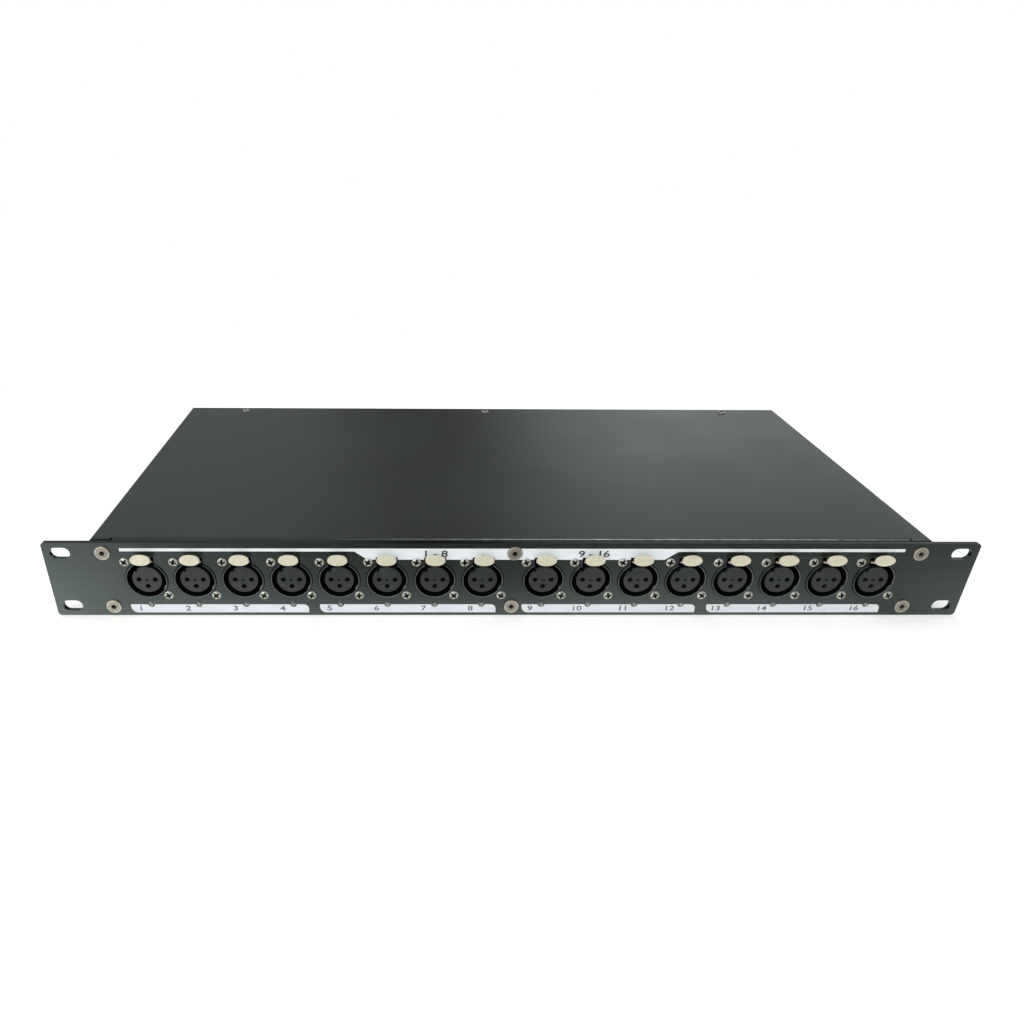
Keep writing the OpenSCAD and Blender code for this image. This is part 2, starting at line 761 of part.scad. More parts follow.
// Contact sleeves with solder tails, and the earth spring beside each carrier
module socket_contacts() {
    earth_w = 2.2;
    earth_t = 0.3;
    earth_angle = 116;
    color([0.78, 0.66, 0.38])
    at_outputs() {
        for (p = contact_places) translate([p[0], 0, p[1]]) contact_sleeve();
        rotate([0, earth_angle, 0]) translate([-earth_w / 2, face_y, mouth_r - earth_t - 0.12])
            cube([earth_w, mouth_end_y - face_y, earth_t]);
    }
}

// Torsion springs on the latch pins, with one leg over the lever and one at the channel's roof
module latch_springs() {
    first = -spring_turns * spring_pitch / 2;
    color([0.75, 0.75, 0.75])
    at_outputs() translate([0, latch_pin_y, latch_pin_z]) {
        rotate([0, 90, 0]) rotate_extrude($fn = fine) translate([spring_in_r, first]) {
            square([spring_wire / 2, spring_turns * spring_pitch]);
            for (k = [0:spring_turns - 1])
                translate([0, k * spring_pitch]) square([spring_wire, spring_pitch - spring_slit]);
        }
        translate([-first - spring_wire - spring_slit, 0, -spring_in_r - spring_wire])
            cube([spring_wire, spring_leg, spring_wire]);
        translate([first, 0, spring_in_r]) cube([spring_wire, spring_leg, spring_wire]);
    }
}

// Pan-headed screws, two to each output socket
module socket_screws() {
    color([0.75, 0.74, 0.7])
    at_outputs() for (p = [[upper_screw_x, upper_screw_z], [lower_screw_x, lower_screw_z]])
        translate([p[0], face_y, p[1]]) {
            pan_head(socket_screw_head_r, socket_screw_head_t);
            rod_y(socket_screw_r, -0.01, socket_screw_l - 0.3);
        }
}

// Indicator lamps with collar and two leads to the output board
module status_leds() {
    lead_x = 0.9;
    lead_r = 0.25;
    color([0.7, 0.72, 0.72])
    at_outputs() translate([0, 0, -led_z]) {
        about_y() {
            square([led_r, panel_t + led_proud - led_r]);
            intersection() {
                translate([0, panel_t + led_proud - led_r]) circle(led_r, $fn = fine);
                square([led_r, panel_t + led_proud]);
            }
        }
        rod_y(led_collar_r, 0, led_collar_t);
        for (s = [-1, 1]) translate([s * lead_x, 0, 0])
            rod_y(lead_r, led_collar_t - 0.2, output_board_y + board_t + 0.8);
    }
}

// Flat-headed socket screws that hold the panel to the tray
module panel_screws() {
    groove = 0.25;
    color([0.68, 0.66, 0.6])
    for (p = panel_screw_places) translate([p[0], face_y, p[1]]) difference() {
        union() {
            about_y() {
                square([panel_screw_head_r - 0.3, panel_screw_head_t]);
                square([panel_screw_head_r, panel_screw_head_t - 0.3]);
            }
            rod_y(panel_screw_r, -0.01, panel_screw_l - 0.2);
        }
        for (r = [0.55, 0.76]) about_y()
            translate([r * panel_screw_head_r, panel_screw_head_t - groove / 2]) square([groove, groove]);
        along_y(-panel_screw_head_t - cut, 0.6) circle(1.45, $fn = 6);
    }
}

// The same small screw in the cover, on the boards, and in the inlet and inputs
module small_screws() {
    for (x = [-cover_screw_x, 0, cover_screw_x])
        translate([x, cover_screw_y, case_top]) rotate([-90, 0, 0]) small_screw();
    for (b = [[main_board_x, main_board_y, main_board_w, main_board_d],
              [supply_board_x, supply_board_y, supply_board_w, supply_board_d]])
        for (p = corners(b[2] - 2 * standoff_inset, b[3] - 2 * standoff_inset))
            translate([b[0] + p[0], b[1] + p[1], board_z + board_t]) rotate([-90, 0, 0]) small_screw();
    for (i = [1:input_count], s = [-1, 1])
        translate([input_place(i) + s * input_screw_x, rear_y + input_flange_t, s * input_screw_z])
            rotate([0, 0, 180]) small_screw();
    for (s = [-1, 1])
        translate([inlet_x + s * inlet_screw_pitch / 2, inlet_face_y, inlet_mid_z])
            rotate([0, 0, 180]) small_screw();
}

// Upright boards that the contact tails and lamp leads are soldered into
module output_boards() {
    inner = centre_strip + 0.6;
    outer = row_half;
    color([0.06, 0.3, 0.16])
    difference() {
        for (s = [0, 1]) mirror([s, 0, 0]) along_y(output_board_y, output_board_y + board_t)
            translate([inner, -output_board_bottom])
                square([outer - inner, output_board_top + output_board_bottom]);
        at_outputs() {
            for (p = contact_places) translate([p[0], 0, p[1]])
                rod_y(contact_tail_r + 0.1, output_board_y - cut, output_board_y + board_t + cut);
            for (s = [-1, 1]) translate([s * 0.9, 0, -led_z])
                rod_y(0.35, output_board_y - cut, output_board_y + board_t + cut);
        }
    }
}

module flat_board(x, y, w, d) {
    difference() {
        translate([x, y, board_z]) linear_extrude(board_t) round_plate(w, d, 2);
        board_screw_holes(x, y, w, d, board_z - cut, board_z + board_t + cut);
    }
}

// Board that receives the inputs and drives the outputs
module main_board() {
    color([0.06, 0.3, 0.16]) flat_board(main_board_x, main_board_y, main_board_w, main_board_d);
}

module chip() {
    translate([0, 0, chip_lift + chip_h / 2]) cube([chip_w, chip_l, chip_h], center = true);
    for (sx = [-1, 1], k = [-1.5:1:1.5])
        translate([sx * (chip_w / 2 + 0.3), k * 2.3, (chip_lift + chip_h / 2) / 2])
            cube([0.7, 0.9, chip_lift + chip_h / 2], center = true);
}

// One line driver for each output and one isolator for each input
module line_driver_chips() {
    color([0.12, 0.12, 0.12])
    translate([main_board_x, main_board_y, board_z + board_t]) {
        for (i = [1:outputs]) translate([(i - (outputs + 1) / 2) * chip_pitch, -main_board_d / 4, 0]) chip();
        for (i = [1:input_count]) translate([(i - (input_count + 1) / 2) * input_pitch, main_board_d / 4, 0]) chip();
    }
}

// Board of the mains power supply
module supply_board() {
    color([0.45, 0.36, 0.16]) flat_board(supply_board_x, supply_board_y, supply_board_w, supply_board_d);
}

// Laminated transformer with its bobbin and winding
module supply_transformer() {
    core_w = 42;
    core_d = 18;
    core_h = 26;
    core_leg = 7;
    bobbin_d = 30;
    color([0.35, 0.35, 0.36])
    translate([supply_board_x + transformer_x, supply_board_y, board_z + board_t + core_h / 2]) {
        difference() {
            cube([core_w, core_d, core_h], center = true);
            for (s = [-1, 1]) translate([s * (core_w / 4 - core_leg / 8), 0, 0])
                cube([core_w / 4 - core_leg / 4, core_d + 1, core_h - 2 * core_leg], center = true);
        }
        difference() {
            along_y(-bobbin_d / 2, bobbin_d / 2)
                round_plate(core_w - 2 * core_leg, core_h - 2 * core_leg - 0.4, 2);
            cube([core_w / 4, core_d, core_h], center = true);
        }
    }
}

// Electrolytic capacitors of the supply
module supply_capacitors() {
    seam = 0.7;
    rim = 0.5;
    color([0.1, 0.12, 0.2])
    for (k = [0:2])
        translate([supply_board_x + capacitor_x + k * capacitor_pitch, supply_board_y + capacitor_y, 0])
            translate([0, 0, board_z + board_t]) rotate_extrude($fn = fine) difference() {
                square([capacitor_r, capacitor_h]);
                translate([capacitor_r, capacitor_h * 0.9]) circle(seam, $fn = 24);
                translate([-1, capacitor_h - rim]) square([capacitor_r - rim + 1, 1]);
            }
}

// Outline of the mains cavity, with its two upper corners cut off
module cavity_outline(grow) {
    w = inlet_cavity_w / 2 + grow;
    h = inlet_cavity_h / 2 + grow;
    slope = 5;
    polygon([[-w, -h], [w, -h], [w, h - slope], [w - slope, h], [-w + slope, h], [-w, h - slope]]);
}

// Moulded mains inlet with its flange, cavity and fuse well
module mains_inlet() {
    color([0.07, 0.07, 0.08])
    translate([inlet_x, 0, 0]) difference() {
        union() {
            along_y(rear_y, inlet_face_y) translate([0, inlet_mid_z])
                round_plate(inlet_flange_w, inlet_flange_h, 5);
            along_y(rear_y - inlet_body_l, rear_y + cut) translate([0, inlet_mid_z])
                square([inlet_body_w, inlet_body_h], center = true);
        }
        along_y(inlet_face_y - inlet_cavity_d, inlet_face_y + cut) translate([0, inlet_z]) cavity_outline(0);
        along_y(inlet_face_y - drawer_l - drawer_gap, inlet_face_y + cut) translate([0, well_z])
            square([drawer_w + 2 * drawer_gap, drawer_h + 2 * drawer_gap], center = true);
        for (s = [-1, 1]) translate([s * inlet_screw_pitch / 2, 0, inlet_mid_z])
            rod_y(small_screw_r + screw_gap, rear_y - cut, inlet_face_y + cut);
        for (s = [-1, 0, 1]) translate([s * blade_pitch, 0, inlet_z + (s == 0 ? blade_rise : 0)])
            along_y(rear_y - inlet_body_l - cut, rear_y) square([blade_t + 0.04, blade_w + 0.04], center = true);
    }
}

// The three flat contacts of the mains inlet
module inlet_blades() {
    tip_y = inlet_face_y - inlet_cavity_d + blade_l;
    color([0.75, 0.74, 0.7])
    for (s = [-1, 0, 1]) translate([inlet_x + s * blade_pitch, 0, inlet_z + (s == 0 ? blade_rise : 0)]) {
        along_y(rear_y - inlet_body_l - blade_tag, tip_y - 1) square([blade_t, blade_w], center = true);
        along_y(tip_y - 1, tip_y) square([blade_t - 0.8, blade_w - 0.8], center = true);
    }
}

// Drawer that carries the fuse and pulls out of the rear
module fuse_drawer() {
    grip = 1.4;
    wall = (drawer_h - 2 * fuse_r) / 2 - 0.1;
    color([0.08, 0.08, 0.09])
    translate([inlet_x, inlet_face_y, well_z]) difference() {
        union() {
            along_y(-drawer_l, 0) square([drawer_w, drawer_h], center = true);
            along_y(-0.01, grip) square([drawer_w - 2, drawer_h - 1], center = true);
        }
        translate([-(fuse_l + 0.6) / 2, -drawer_l + 3, -drawer_h / 2 + wall])
            cube([fuse_l + 0.6, 2 * fuse_r + 0.6, drawer_h]);
        translate([0, grip, drawer_h / 2 - 0.5]) rod_x(0.9, drawer_w * 0.6);
    }
}

// Glass fuse in its drawer
module fuse() {
    cap_l = 5;
    wall = (drawer_h - 2 * fuse_r) / 2 - 0.1;
    color([0.8, 0.82, 0.82])
    translate([inlet_x, inlet_face_y - drawer_l + 3.3 + fuse_r, well_z - drawer_h / 2 + wall + fuse_r + 0.05]) {
        rod_x(fuse_r - 0.15, fuse_l);
        for (s = [-1, 1]) translate([s * (fuse_l - cap_l) / 2, 0, 0]) rod_x(fuse_r, cap_l);
    }
}

// Bezel and body of the power switch
module switch_frame() {
    color([0.06, 0.06, 0.07])
    translate([switch_x, 0, 0]) difference() {
        union() {
            along_y(rear_y, rear_y + bezel_t) round_plate(bezel_w, bezel_h, 1.5);
            along_y(rear_y - switch_body_l, rear_y + cut) square([bezel_w - 2, bezel_h - 2], center = true);
            for (s = [-1, 1]) translate([0, 0, s * switch_tag_z])
                along_y(rear_y - switch_body_l - blade_tag, rear_y - switch_body_l + cut)
                    square([4.8, 0.8], center = true);
        }
        along_y(switch_floor_y, rear_y + bezel_t + cut)
            square([rocker_w + 2 * rocker_gap, 2 * rocker_room], center = true);
        translate([0, rocker_y, 0]) rod_x(trunnion_r + 0.05, rocker_w + 2 * rocker_gap + 1.6);
    }
}

// Side view of the rocker about its axis, in its middle position
module rocker_profile() {
    intersection() {
        circle(rocker_r, $fn = 2 * fine);
        polygon([
            [2.4, 0],
            [3.6, rocker_l / 2 + 1],
            [-0.6, rocker_l / 2 + 1],
            [-1.4, rocker_l / 2 - 1],
            [-4.6, 2.4],
            [-4.6, -2.4],
            [-1.4, -rocker_l / 2 + 1],
            [-0.6, -rocker_l / 2 - 1],
            [3.6, -rocker_l / 2 - 1],
        ]);
    }
}

// Rocker of the power switch, tilted to its off position
module switch_rocker() {
    color([0.1, 0.1, 0.11])
    translate([switch_x, rocker_y, 0]) rotate([-rocker_tilt, 0, 0]) {
        along_x(rocker_w) rocker_profile();
        rod_x(trunnion_r, rocker_w + 2 * rocker_gap + 1.2);
    }
}

// Flanged cups of the input sockets
module input_sockets() {
    cup_end_y = rear_y - cup_l;
    rim = 0.8;
    front = rear_y + input_flange_t;
    color([0.08, 0.08, 0.09])
    for (i = [1:input_count]) translate([input_place(i), 0, 0]) difference() {
        union() {
            along_y(rear_y, front) round_plate(input_flange_w, input_flange_h, input_flange_corner_r);
            rod_y(cup_r, cup_end_y, rear_y + cut);
            rod_y(cup_r, rear_y, front + rim);
        }
        rod_y(cup_mouth_r, cup_end_y + cup_floor, front + rim + cut);
        for (p = contact_places) translate([p[0], 0, p[1]]) rod_y(input_pin_r + 0.02, cup_end_y - cut, front);
        for (s = [-1, 1]) translate([s * input_screw_x, 0, s * input_screw_z])
            rod_y(small_screw_r + screw_gap, rear_y - cut, front + cut);
    }
}

// The three pins of each input socket, with rounded tips and solder tails
module input_pins() {
    tip_y = rear_y - 1;
    tail_y = rear_y - cup_l - 5;
    color([0.78, 0.66, 0.38])
    for (i = [1:input_count], p = contact_places) translate([input_place(i) + p[0], 0, p[1]]) {
        rod_y(input_pin_r, tail_y, tip_y - input_pin_r);
        translate([0, tip_y - input_pin_r, 0]) sphere(input_pin_r, $fn = fine);
    }
}

// Side view of a lead that runs forward or back from one point and then down to another
module lead_profile(y0, z0, y1, z1, t) {
    s = sign(y1 - y0);
    polygon([
        [y0, z0],
        [y1, z0],
        [y1, z1],
        [y1 - s * t, z1],
        [y1 - s * t, z0 - t],
        [y0, z0 - t],
    ]);
}

module lead(x, w, y0, z0, y1, z1, t) {
    translate([x, 0, 0]) along_x(w) lead_profile(y0, z0, y1, z1, t);
}

// Ribbons from the output boards to the main board, and mains leads to the supply board
module internal_wiring() {
    ribbon_w = 26;
    ribbon_t = 0.9;
    ribbon_high = 8;
    lead_t = 2.2;
    ribbon_foot = 12;
    pads_inset = 6;
    pads_y = supply_board_y + supply_board_d / 2 - pads_inset;
    pads_step = 8;
    inlet_tag_y = rear_y - inlet_body_l - blade_tag;
    switch_tag_y = rear_y - switch_body_l - blade_tag;
    top = board_z + board_t;
    color([0.6, 0.6, 0.62]) {
        for (s = [-1, 1])
            lead(main_board_x + s * main_board_w / 4, ribbon_w, output_board_y + board_t, top + ribbon_high,
                main_board_y - main_board_d / 2 + ribbon_foot, top, ribbon_t);
        for (s = [-1, 1])
            lead(inlet_x + s * blade_pitch, lead_t, inlet_tag_y, inlet_z + lead_t / 2, pads_y, top, lead_t);
        for (s = [-1, 1])
            lead(switch_x, lead_t, switch_tag_y, s * switch_tag_z + lead_t / 2,
                pads_y - (1 + s) / 2 * pads_step, top, lead_t);
    }
}

front_panel();
chassis_tray();
rear_panel();
top_cover();
clinch_fasteners();
for (i = [1:outputs]) socket_shell(i);
for (i = [1:outputs]) socket_latch(i);
socket_inserts();
socket_contacts();
latch_springs();
socket_screws();
status_leds();
panel_screws();
small_screws();
output_boards();
main_board();
line_driver_chips();
supply_board();
supply_transformer();
supply_capacitors();
mains_inlet();
inlet_blades();
fuse_drawer();
fuse();
switch_frame();
switch_rocker();
input_sockets();
input_pins();
internal_wiring();
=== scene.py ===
import json
import math

import bmesh
import bpy
import numpy as np
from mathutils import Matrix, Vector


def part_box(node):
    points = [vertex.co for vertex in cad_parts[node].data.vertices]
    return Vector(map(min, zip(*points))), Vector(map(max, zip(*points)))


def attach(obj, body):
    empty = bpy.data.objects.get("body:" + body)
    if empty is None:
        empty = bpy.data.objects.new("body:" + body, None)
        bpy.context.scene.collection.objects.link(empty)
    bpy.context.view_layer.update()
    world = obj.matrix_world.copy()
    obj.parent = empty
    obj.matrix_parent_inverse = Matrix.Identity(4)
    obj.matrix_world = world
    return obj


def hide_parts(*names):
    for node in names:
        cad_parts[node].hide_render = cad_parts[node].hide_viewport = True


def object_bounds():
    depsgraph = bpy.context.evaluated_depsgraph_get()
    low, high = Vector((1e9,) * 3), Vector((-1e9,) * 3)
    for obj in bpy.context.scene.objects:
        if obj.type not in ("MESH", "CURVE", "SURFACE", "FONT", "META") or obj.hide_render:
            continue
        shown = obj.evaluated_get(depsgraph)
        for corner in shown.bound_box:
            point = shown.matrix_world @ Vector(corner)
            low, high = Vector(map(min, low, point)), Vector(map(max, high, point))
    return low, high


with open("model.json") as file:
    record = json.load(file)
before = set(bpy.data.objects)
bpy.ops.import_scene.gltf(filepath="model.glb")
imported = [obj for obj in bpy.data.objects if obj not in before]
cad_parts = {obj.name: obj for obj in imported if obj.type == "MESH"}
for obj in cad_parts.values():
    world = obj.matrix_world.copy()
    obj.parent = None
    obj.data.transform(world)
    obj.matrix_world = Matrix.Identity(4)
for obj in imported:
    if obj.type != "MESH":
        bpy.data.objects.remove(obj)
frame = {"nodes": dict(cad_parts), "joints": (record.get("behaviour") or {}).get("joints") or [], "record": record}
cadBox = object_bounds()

# Looks of a rack-mounted data splitter: brushed panel, sixteen sockets, folded steel case.
# Everything is in metres in the frame's own axes: X along the panel, Y to the rear, Z up.

mm = 0.001
nodes = frame["nodes"]
collection = bpy.context.scene.collection
panelLow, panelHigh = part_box("front_panel")
faceY = panelLow.y
lampCollar = 1.85 * mm  # radius of the collar behind the panel, each lamp's lowest part
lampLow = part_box("status_leds")[0]
lampZ = lampLow.z + lampCollar
outputX = [joint["pos_m"][0] for joint in frame["joints"] if joint["name"].endswith("_press")]
print("frame loaded:", len(nodes), "nodes,", len(outputX), "outputs")


# Camera

photoCamera = {
    "focalPixels": 764.13,
    "imagePixels": 1024,
    "centrePixels": (429.91, 548.53),  # where the lens axis meets the image
    "place": (-50.13 * mm, -343.79 * mm, 209.62 * mm),
    "turnDegrees": (60.812, -0.510, -0.781),
    "sensorMm": 36.0,
    "clipStart": 0.01,
}


def makeCamera(spec):
    data = bpy.data.cameras.new("photo_camera")
    half = spec["imagePixels"] / 2
    data.sensor_width = spec["sensorMm"]
    data.lens = spec["focalPixels"] / spec["imagePixels"] * spec["sensorMm"]
    data.shift_x = (half - spec["centrePixels"][0]) / spec["imagePixels"]
    data.shift_y = (spec["centrePixels"][1] - half) / spec["imagePixels"]
    data.clip_start = spec["clipStart"]
    camera = bpy.data.objects.new("photo_camera", data)
    camera.location = spec["place"]
    camera.rotation_euler = [math.radians(a) for a in spec["turnDegrees"]]
    collection.objects.link(camera)
    bpy.context.scene.camera = camera


makeCamera(photoCamera)
bpy.context.scene.view_settings.view_transform = "Standard"
print("camera made")


# Small helpers for materials

noiseEnds = (0.3, 0.7)  # nearly all values of a noise lie between these


def linear(hexText):
    # an sRGB hex colour as linear light
    parts = [int(hexText[k:k + 2], 16) / 255 for k in (1, 3, 5)]
    return [c / 12.92 if c <= 0.04045 else ((c + 0.055) / 1.055) ** 2.4 for c in parts] + [1.0]


def addNode(tree, kind, inputs=(), output=0, stops=(), **settings):
    # adds one node and gives back one of its outputs; an input is a plain value, a hex colour or
    # another node's output, and stops are a ramp's rising (place, hex colour or plain number)
    made = tree.nodes.new("ShaderNode" + kind)
    for name, value in settings.items():
        setattr(made, name, value)
    for name, value in inputs.items() if isinstance(inputs, dict) else enumerate(inputs):
        if isinstance(value, bpy.types.NodeSocket):
            tree.links.new(value, made.inputs[name])
        else:
            made.inputs[name].default_value = linear(value) if isinstance(value, str) else value
    for k, (place, tone) in enumerate(stops):
        marks = made.color_ramp.elements
        mark = marks[k] if k < 2 else marks.new(place)
        mark.position = place
        mark.color = linear(tone) if isinstance(tone, str) else [tone] * 3 + [1.0]
    return made.outputs[output] if made.outputs else None


def scaledStops(pairs, low, high):
    # a ramp's stops from (place, value) pairs whose places run from low to high
    return [((place - low) / (high - low), value) for place, value in pairs]


def startFinish(name):
    # an empty material, its tree and the piece's own coordinates in metres
    finish = bpy.data.materials.new(name)
    finish.use_nodes = True
    tree = finish.node_tree
    tree.nodes.clear()
    return finish, tree, addNode(tree, "TexCoord", output="Object")


# Small helpers for meshes

meshing = {
    "weld": 0.002 * mm,  # points of a new mesh that lie nearer than this are one
    "sliver": 0.0005 * mm,
    "cadWeld": 0.004 * mm,
    "flatDegrees": 0.4,  # faces of a CAD mesh that turn less than this become one
    "hardDegrees": 32.0,  # edges that turn more than this are hard, and get rounded
}
behaviour = frame["record"]["behaviour"]
bodyOfNode = {node: body for body, members in behaviour["bodies"].items() for node in members}
slotOfNode = {part["node"]: part["material_slot"] for part in frame["record"]["subparts"]}


def gridQuads(rows, columns, ringed=False):
    # the quads of one grid of points, whose last column joins the first when ringed
    r, c = np.meshgrid(np.arange(rows - 1), np.arange(columns if ringed else columns - 1), indexing="ij")
    n = (c + 1) % columns
    here, below = r * columns, (r + 1) * columns
    return np.stack([here + c, here + n, below + n, below + c], -1).reshape(-1, 4)


def mergeMeshes(parts):
    # several pairs of points and faces as one
    points, faces, start = [], [], 0
    for partPoints, partFaces in parts:
        points.append(partPoints)
        faces += [[start + int(v) for v in f] for f in partFaces]
        start += len(partPoints)
    return np.vstack(points), faces


def putPiece(name, points, faces, finish, body, slotName, sharpDegrees=40.0, fixSides=True, levels=None):
    # a mesh from arrays of points and faces, welded, turned outwards and set on its body
    mesh = bpy.data.meshes.new(name)
    mesh.from_pydata(np.asarray(points, float).tolist(), [], [list(map(int, f)) for f in faces])
    if levels is not None:
        mesh.attributes.new("level", "FLOAT", "POINT").data.foreach_set("value", levels.astype(np.float32))
    work = bmesh.new()
    work.from_mesh(mesh)
    bmesh.ops.remove_doubles(work, verts=work.verts, dist=meshing["weld"])
    bmesh.ops.dissolve_degenerate(work, edges=work.edges, dist=meshing["sliver"])
    if fixSides:
        bmesh.ops.recalc_face_normals(work, faces=work.faces)
    work.to_mesh(mesh)
    work.free()
    mesh.shade_smooth()
    mesh.set_sharp_from_angle(angle=math.radians(sharpDegrees))
    mesh.materials.append(finish)
    piece = bpy.data.objects.new(name, mesh)
    collection.objects.link(piece)
    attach(piece, body)
    return piece


def refine(nodeName, finish, bevelMm, segments):
    # a welded copy of a node with its hard edges rounded, in place of the node
    mesh = nodes[nodeName].data.copy()
    mesh.name = nodeName + "_finished"
    work = bmesh.new()
    work.from_mesh(mesh)
    bmesh.ops.remove_doubles(work, verts=work.verts, dist=meshing["cadWeld"])
    flat = math.radians(meshing["flatDegrees"])
    bmesh.ops.dissolve_limit(work, angle_limit=flat, verts=work.verts, edges=work.edges)
    work.to_mesh(mesh)
    work.free()
    mesh.materials.clear()
    mesh.materials.append(finish)
    mesh.shade_smooth()
    mesh.set_sharp_from_angle(angle=math.radians(meshing["hardDegrees"]))
    piece = bpy.data.objects.new(nodeName + "_finished", mesh)
    collection.objects.link(piece)
    if bevelMm > 0:
        bevel = piece.modifiers.new("rounding", "BEVEL")
        bevel.width = bevelMm * mm
        bevel.segments = segments
        bevel.limit_method = "ANGLE"
        bevel.angle_limit = math.radians(meshing["hardDegrees"])
        bevel.harden_normals = True
        bevel.miter_outer = "MITER_ARC"
    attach(piece, bodyOfNode[nodeName])
    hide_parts(nodeName)
    return piece


def coat(nodeName, finish):
    # a CAD node that stays as it is and takes a finish
    mesh = nodes[nodeName].data
    mesh.materials.clear()
    mesh.materials.append(finish)


# Stage: pale floor, white world, a card that only reflections see, soft lamps

stage = {
    "floorHalf": 6.0,
    "gapMm": 0.05,  # from the floor up to the lowest point of the object
    "paperHexes": ("#EFEFED", "#F4F4F2"),
    "speckleMm": 3.0,
    "lift": 0.22,  # light that only the camera sees, so that the paper reads white and keeps a faint shadow
    "whiteFrom": 0.30,  # metres from the middle where the floor starts to turn plain white
    "whiteTo": 0.60,
    "worldStrength": 0.70,
    "mirroredSky": 0.30,
    "glowHalf": 0.28,  # metres to either side of the middle over which the next two hold
    # brightness of the floor in the panel's mirror image at places along X, just before the panel
    # and further off, set from render to render
    "near": [(-0.26, 1.75), (-0.215, 1.15), (-0.17, 1.05), (-0.12, 0.90), (-0.06, 0.90), (0.0, 0.86),
             (0.05, 1.08), (0.12, 0.98), (0.18, 0.78), (0.21, 0.50), (0.26, 0.86)],
    "far": [(-0.28, 1.45), (-0.24, 1.10), (-0.21, 0.74), (-0.17, 0.53), (-0.12, 0.39), (-0.06, 0.28),
            (0.0, 0.28), (0.05, 0.42), (0.12, 0.42), (0.18, 0.42), (0.22, 0.48), (0.28, 0.66)],
    "nearMm": 4.0,  # distances before the panel at which these hold
    "farMm": 42.0,
    "fadeMm": 90.0,  # and at which the mirrored floor is down to its faded share
    "faded": 0.45,
    "edgeMm": 0.4,  # and over which it sets in before the panel
}


def makeFloor(spec):
    z = cadBox[0].z - spec["gapMm"] * mm
    h = spec["floorHalf"]
    mesh = bpy.data.meshes.new("floor")
    mesh.from_pydata([(-h, -h, z), (h, -h, z), (h, h, z), (-h, h, z)], [], [(0, 1, 2, 3)])
    finish, tree, place = startFinish("pale_floor_paper")
    speckle = addNode(tree, "TexNoise", {"Vector": place, "Scale": 1 / (spec["speckleMm"] * mm)})
    shade = addNode(tree, "ValToRGB", [speckle], stops=zip(noiseEnds, spec["paperHexes"]))
    paper = addNode(tree, "BsdfDiffuse", {"Color": shade})
    rays = addNode(tree, "LightPath").node.outputs
    seen = addNode(tree, "Math", [rays["Is Camera Ray"], rays["Is Transmission Ray"]], operation="MAXIMUM")
    lift = addNode(tree, "Math", [seen, spec["lift"]], operation="MULTIPLY")
    lifted = addNode(tree, "AddShader", [paper, addNode(tree, "Emission", {"Strength": lift})])
    distance = addNode(tree, "VectorMath", [place], "Value", operation="LENGTH")
    distant = addNode(tree, "MapRange", [distance, spec["whiteFrom"], spec["whiteTo"]],
                      interpolation_type="SMOOTHSTEP")
    white = addNode(tree, "Emission", {"Color": "#FFFFFF", "Strength": 1.0})
    whitened = addNode(tree, "Math", [distant, seen], operation="MULTIPLY")
    plain = addNode(tree, "MixShader", [whitened, lifted, white])
    # what the panel mirrors: brightest at its foot, and brighter to the left than in the middle
    half = spec["glowHalf"]
    across = addNode(tree, "MapRange", [addNode(tree, "SeparateXYZ", [place], "X"), -half, half])
    near, far = [addNode(tree, "ValToRGB", [across], stops=scaledStops(spec[key], -half, half))
                 for key in ("near", "far")]
    back = addNode(tree, "SeparateXYZ", [place], "Y")
    farY = faceY - spec["farMm"] * mm
    away = addNode(tree, "MapRange", [back, farY, faceY - spec["nearMm"] * mm, 1.0, 0.0])
    glow = addNode(tree, "Mix", {0: away, 6: near, 7: far}, 2, data_type="RGBA")
    fade = addNode(tree, "MapRange", [back, faceY - spec["fadeMm"] * mm, farY, spec["faded"], 1.0])
    mirror = addNode(tree, "Emission", {"Color": glow, "Strength": fade})
    before = addNode(tree, "MapRange", [back, faceY - spec["edgeMm"] * mm, faceY, 1.0, 0.0])
    mirrored = addNode(tree, "Math", [before, rays["Is Glossy Ray"]], operation="MULTIPLY")
    addNode(tree, "OutputMaterial", [addNode(tree, "MixShader", [mirrored, plain, mirror])])
    mesh.materials.append(finish)
    floor = bpy.data.objects.new("floor", mesh)
    collection.objects.link(floor)


def makeWorld(spec):
    # plain white where the camera looks, and less light on the object and in its reflections
    world = bpy.data.worlds.new("studio")
    bpy.context.scene.world = world
    world.use_nodes = True
    tree = world.node_tree
    tree.nodes.clear()
    rays = addNode(tree, "LightPath").node.outputs
    seen = addNode(tree, "Math", [rays["Is Camera Ray"], rays["Is Transmission Ray"]], operation="MAXIMUM")
    strength = addNode(tree, "MapRange", [seen, 0.0, 1.0, spec["worldStrength"], 1.0])
    less = spec["mirroredSky"] - spec["worldStrength"]
    less = addNode(tree, "Math", [rays["Is Glossy Ray"], less], operation="MULTIPLY")
    strength = addNode(tree, "Math", [strength, less], operation="ADD")
    addNode(tree, "OutputWorld", [addNode(tree, "Background", {"Color": "#FFFFFF", "Strength": strength})])


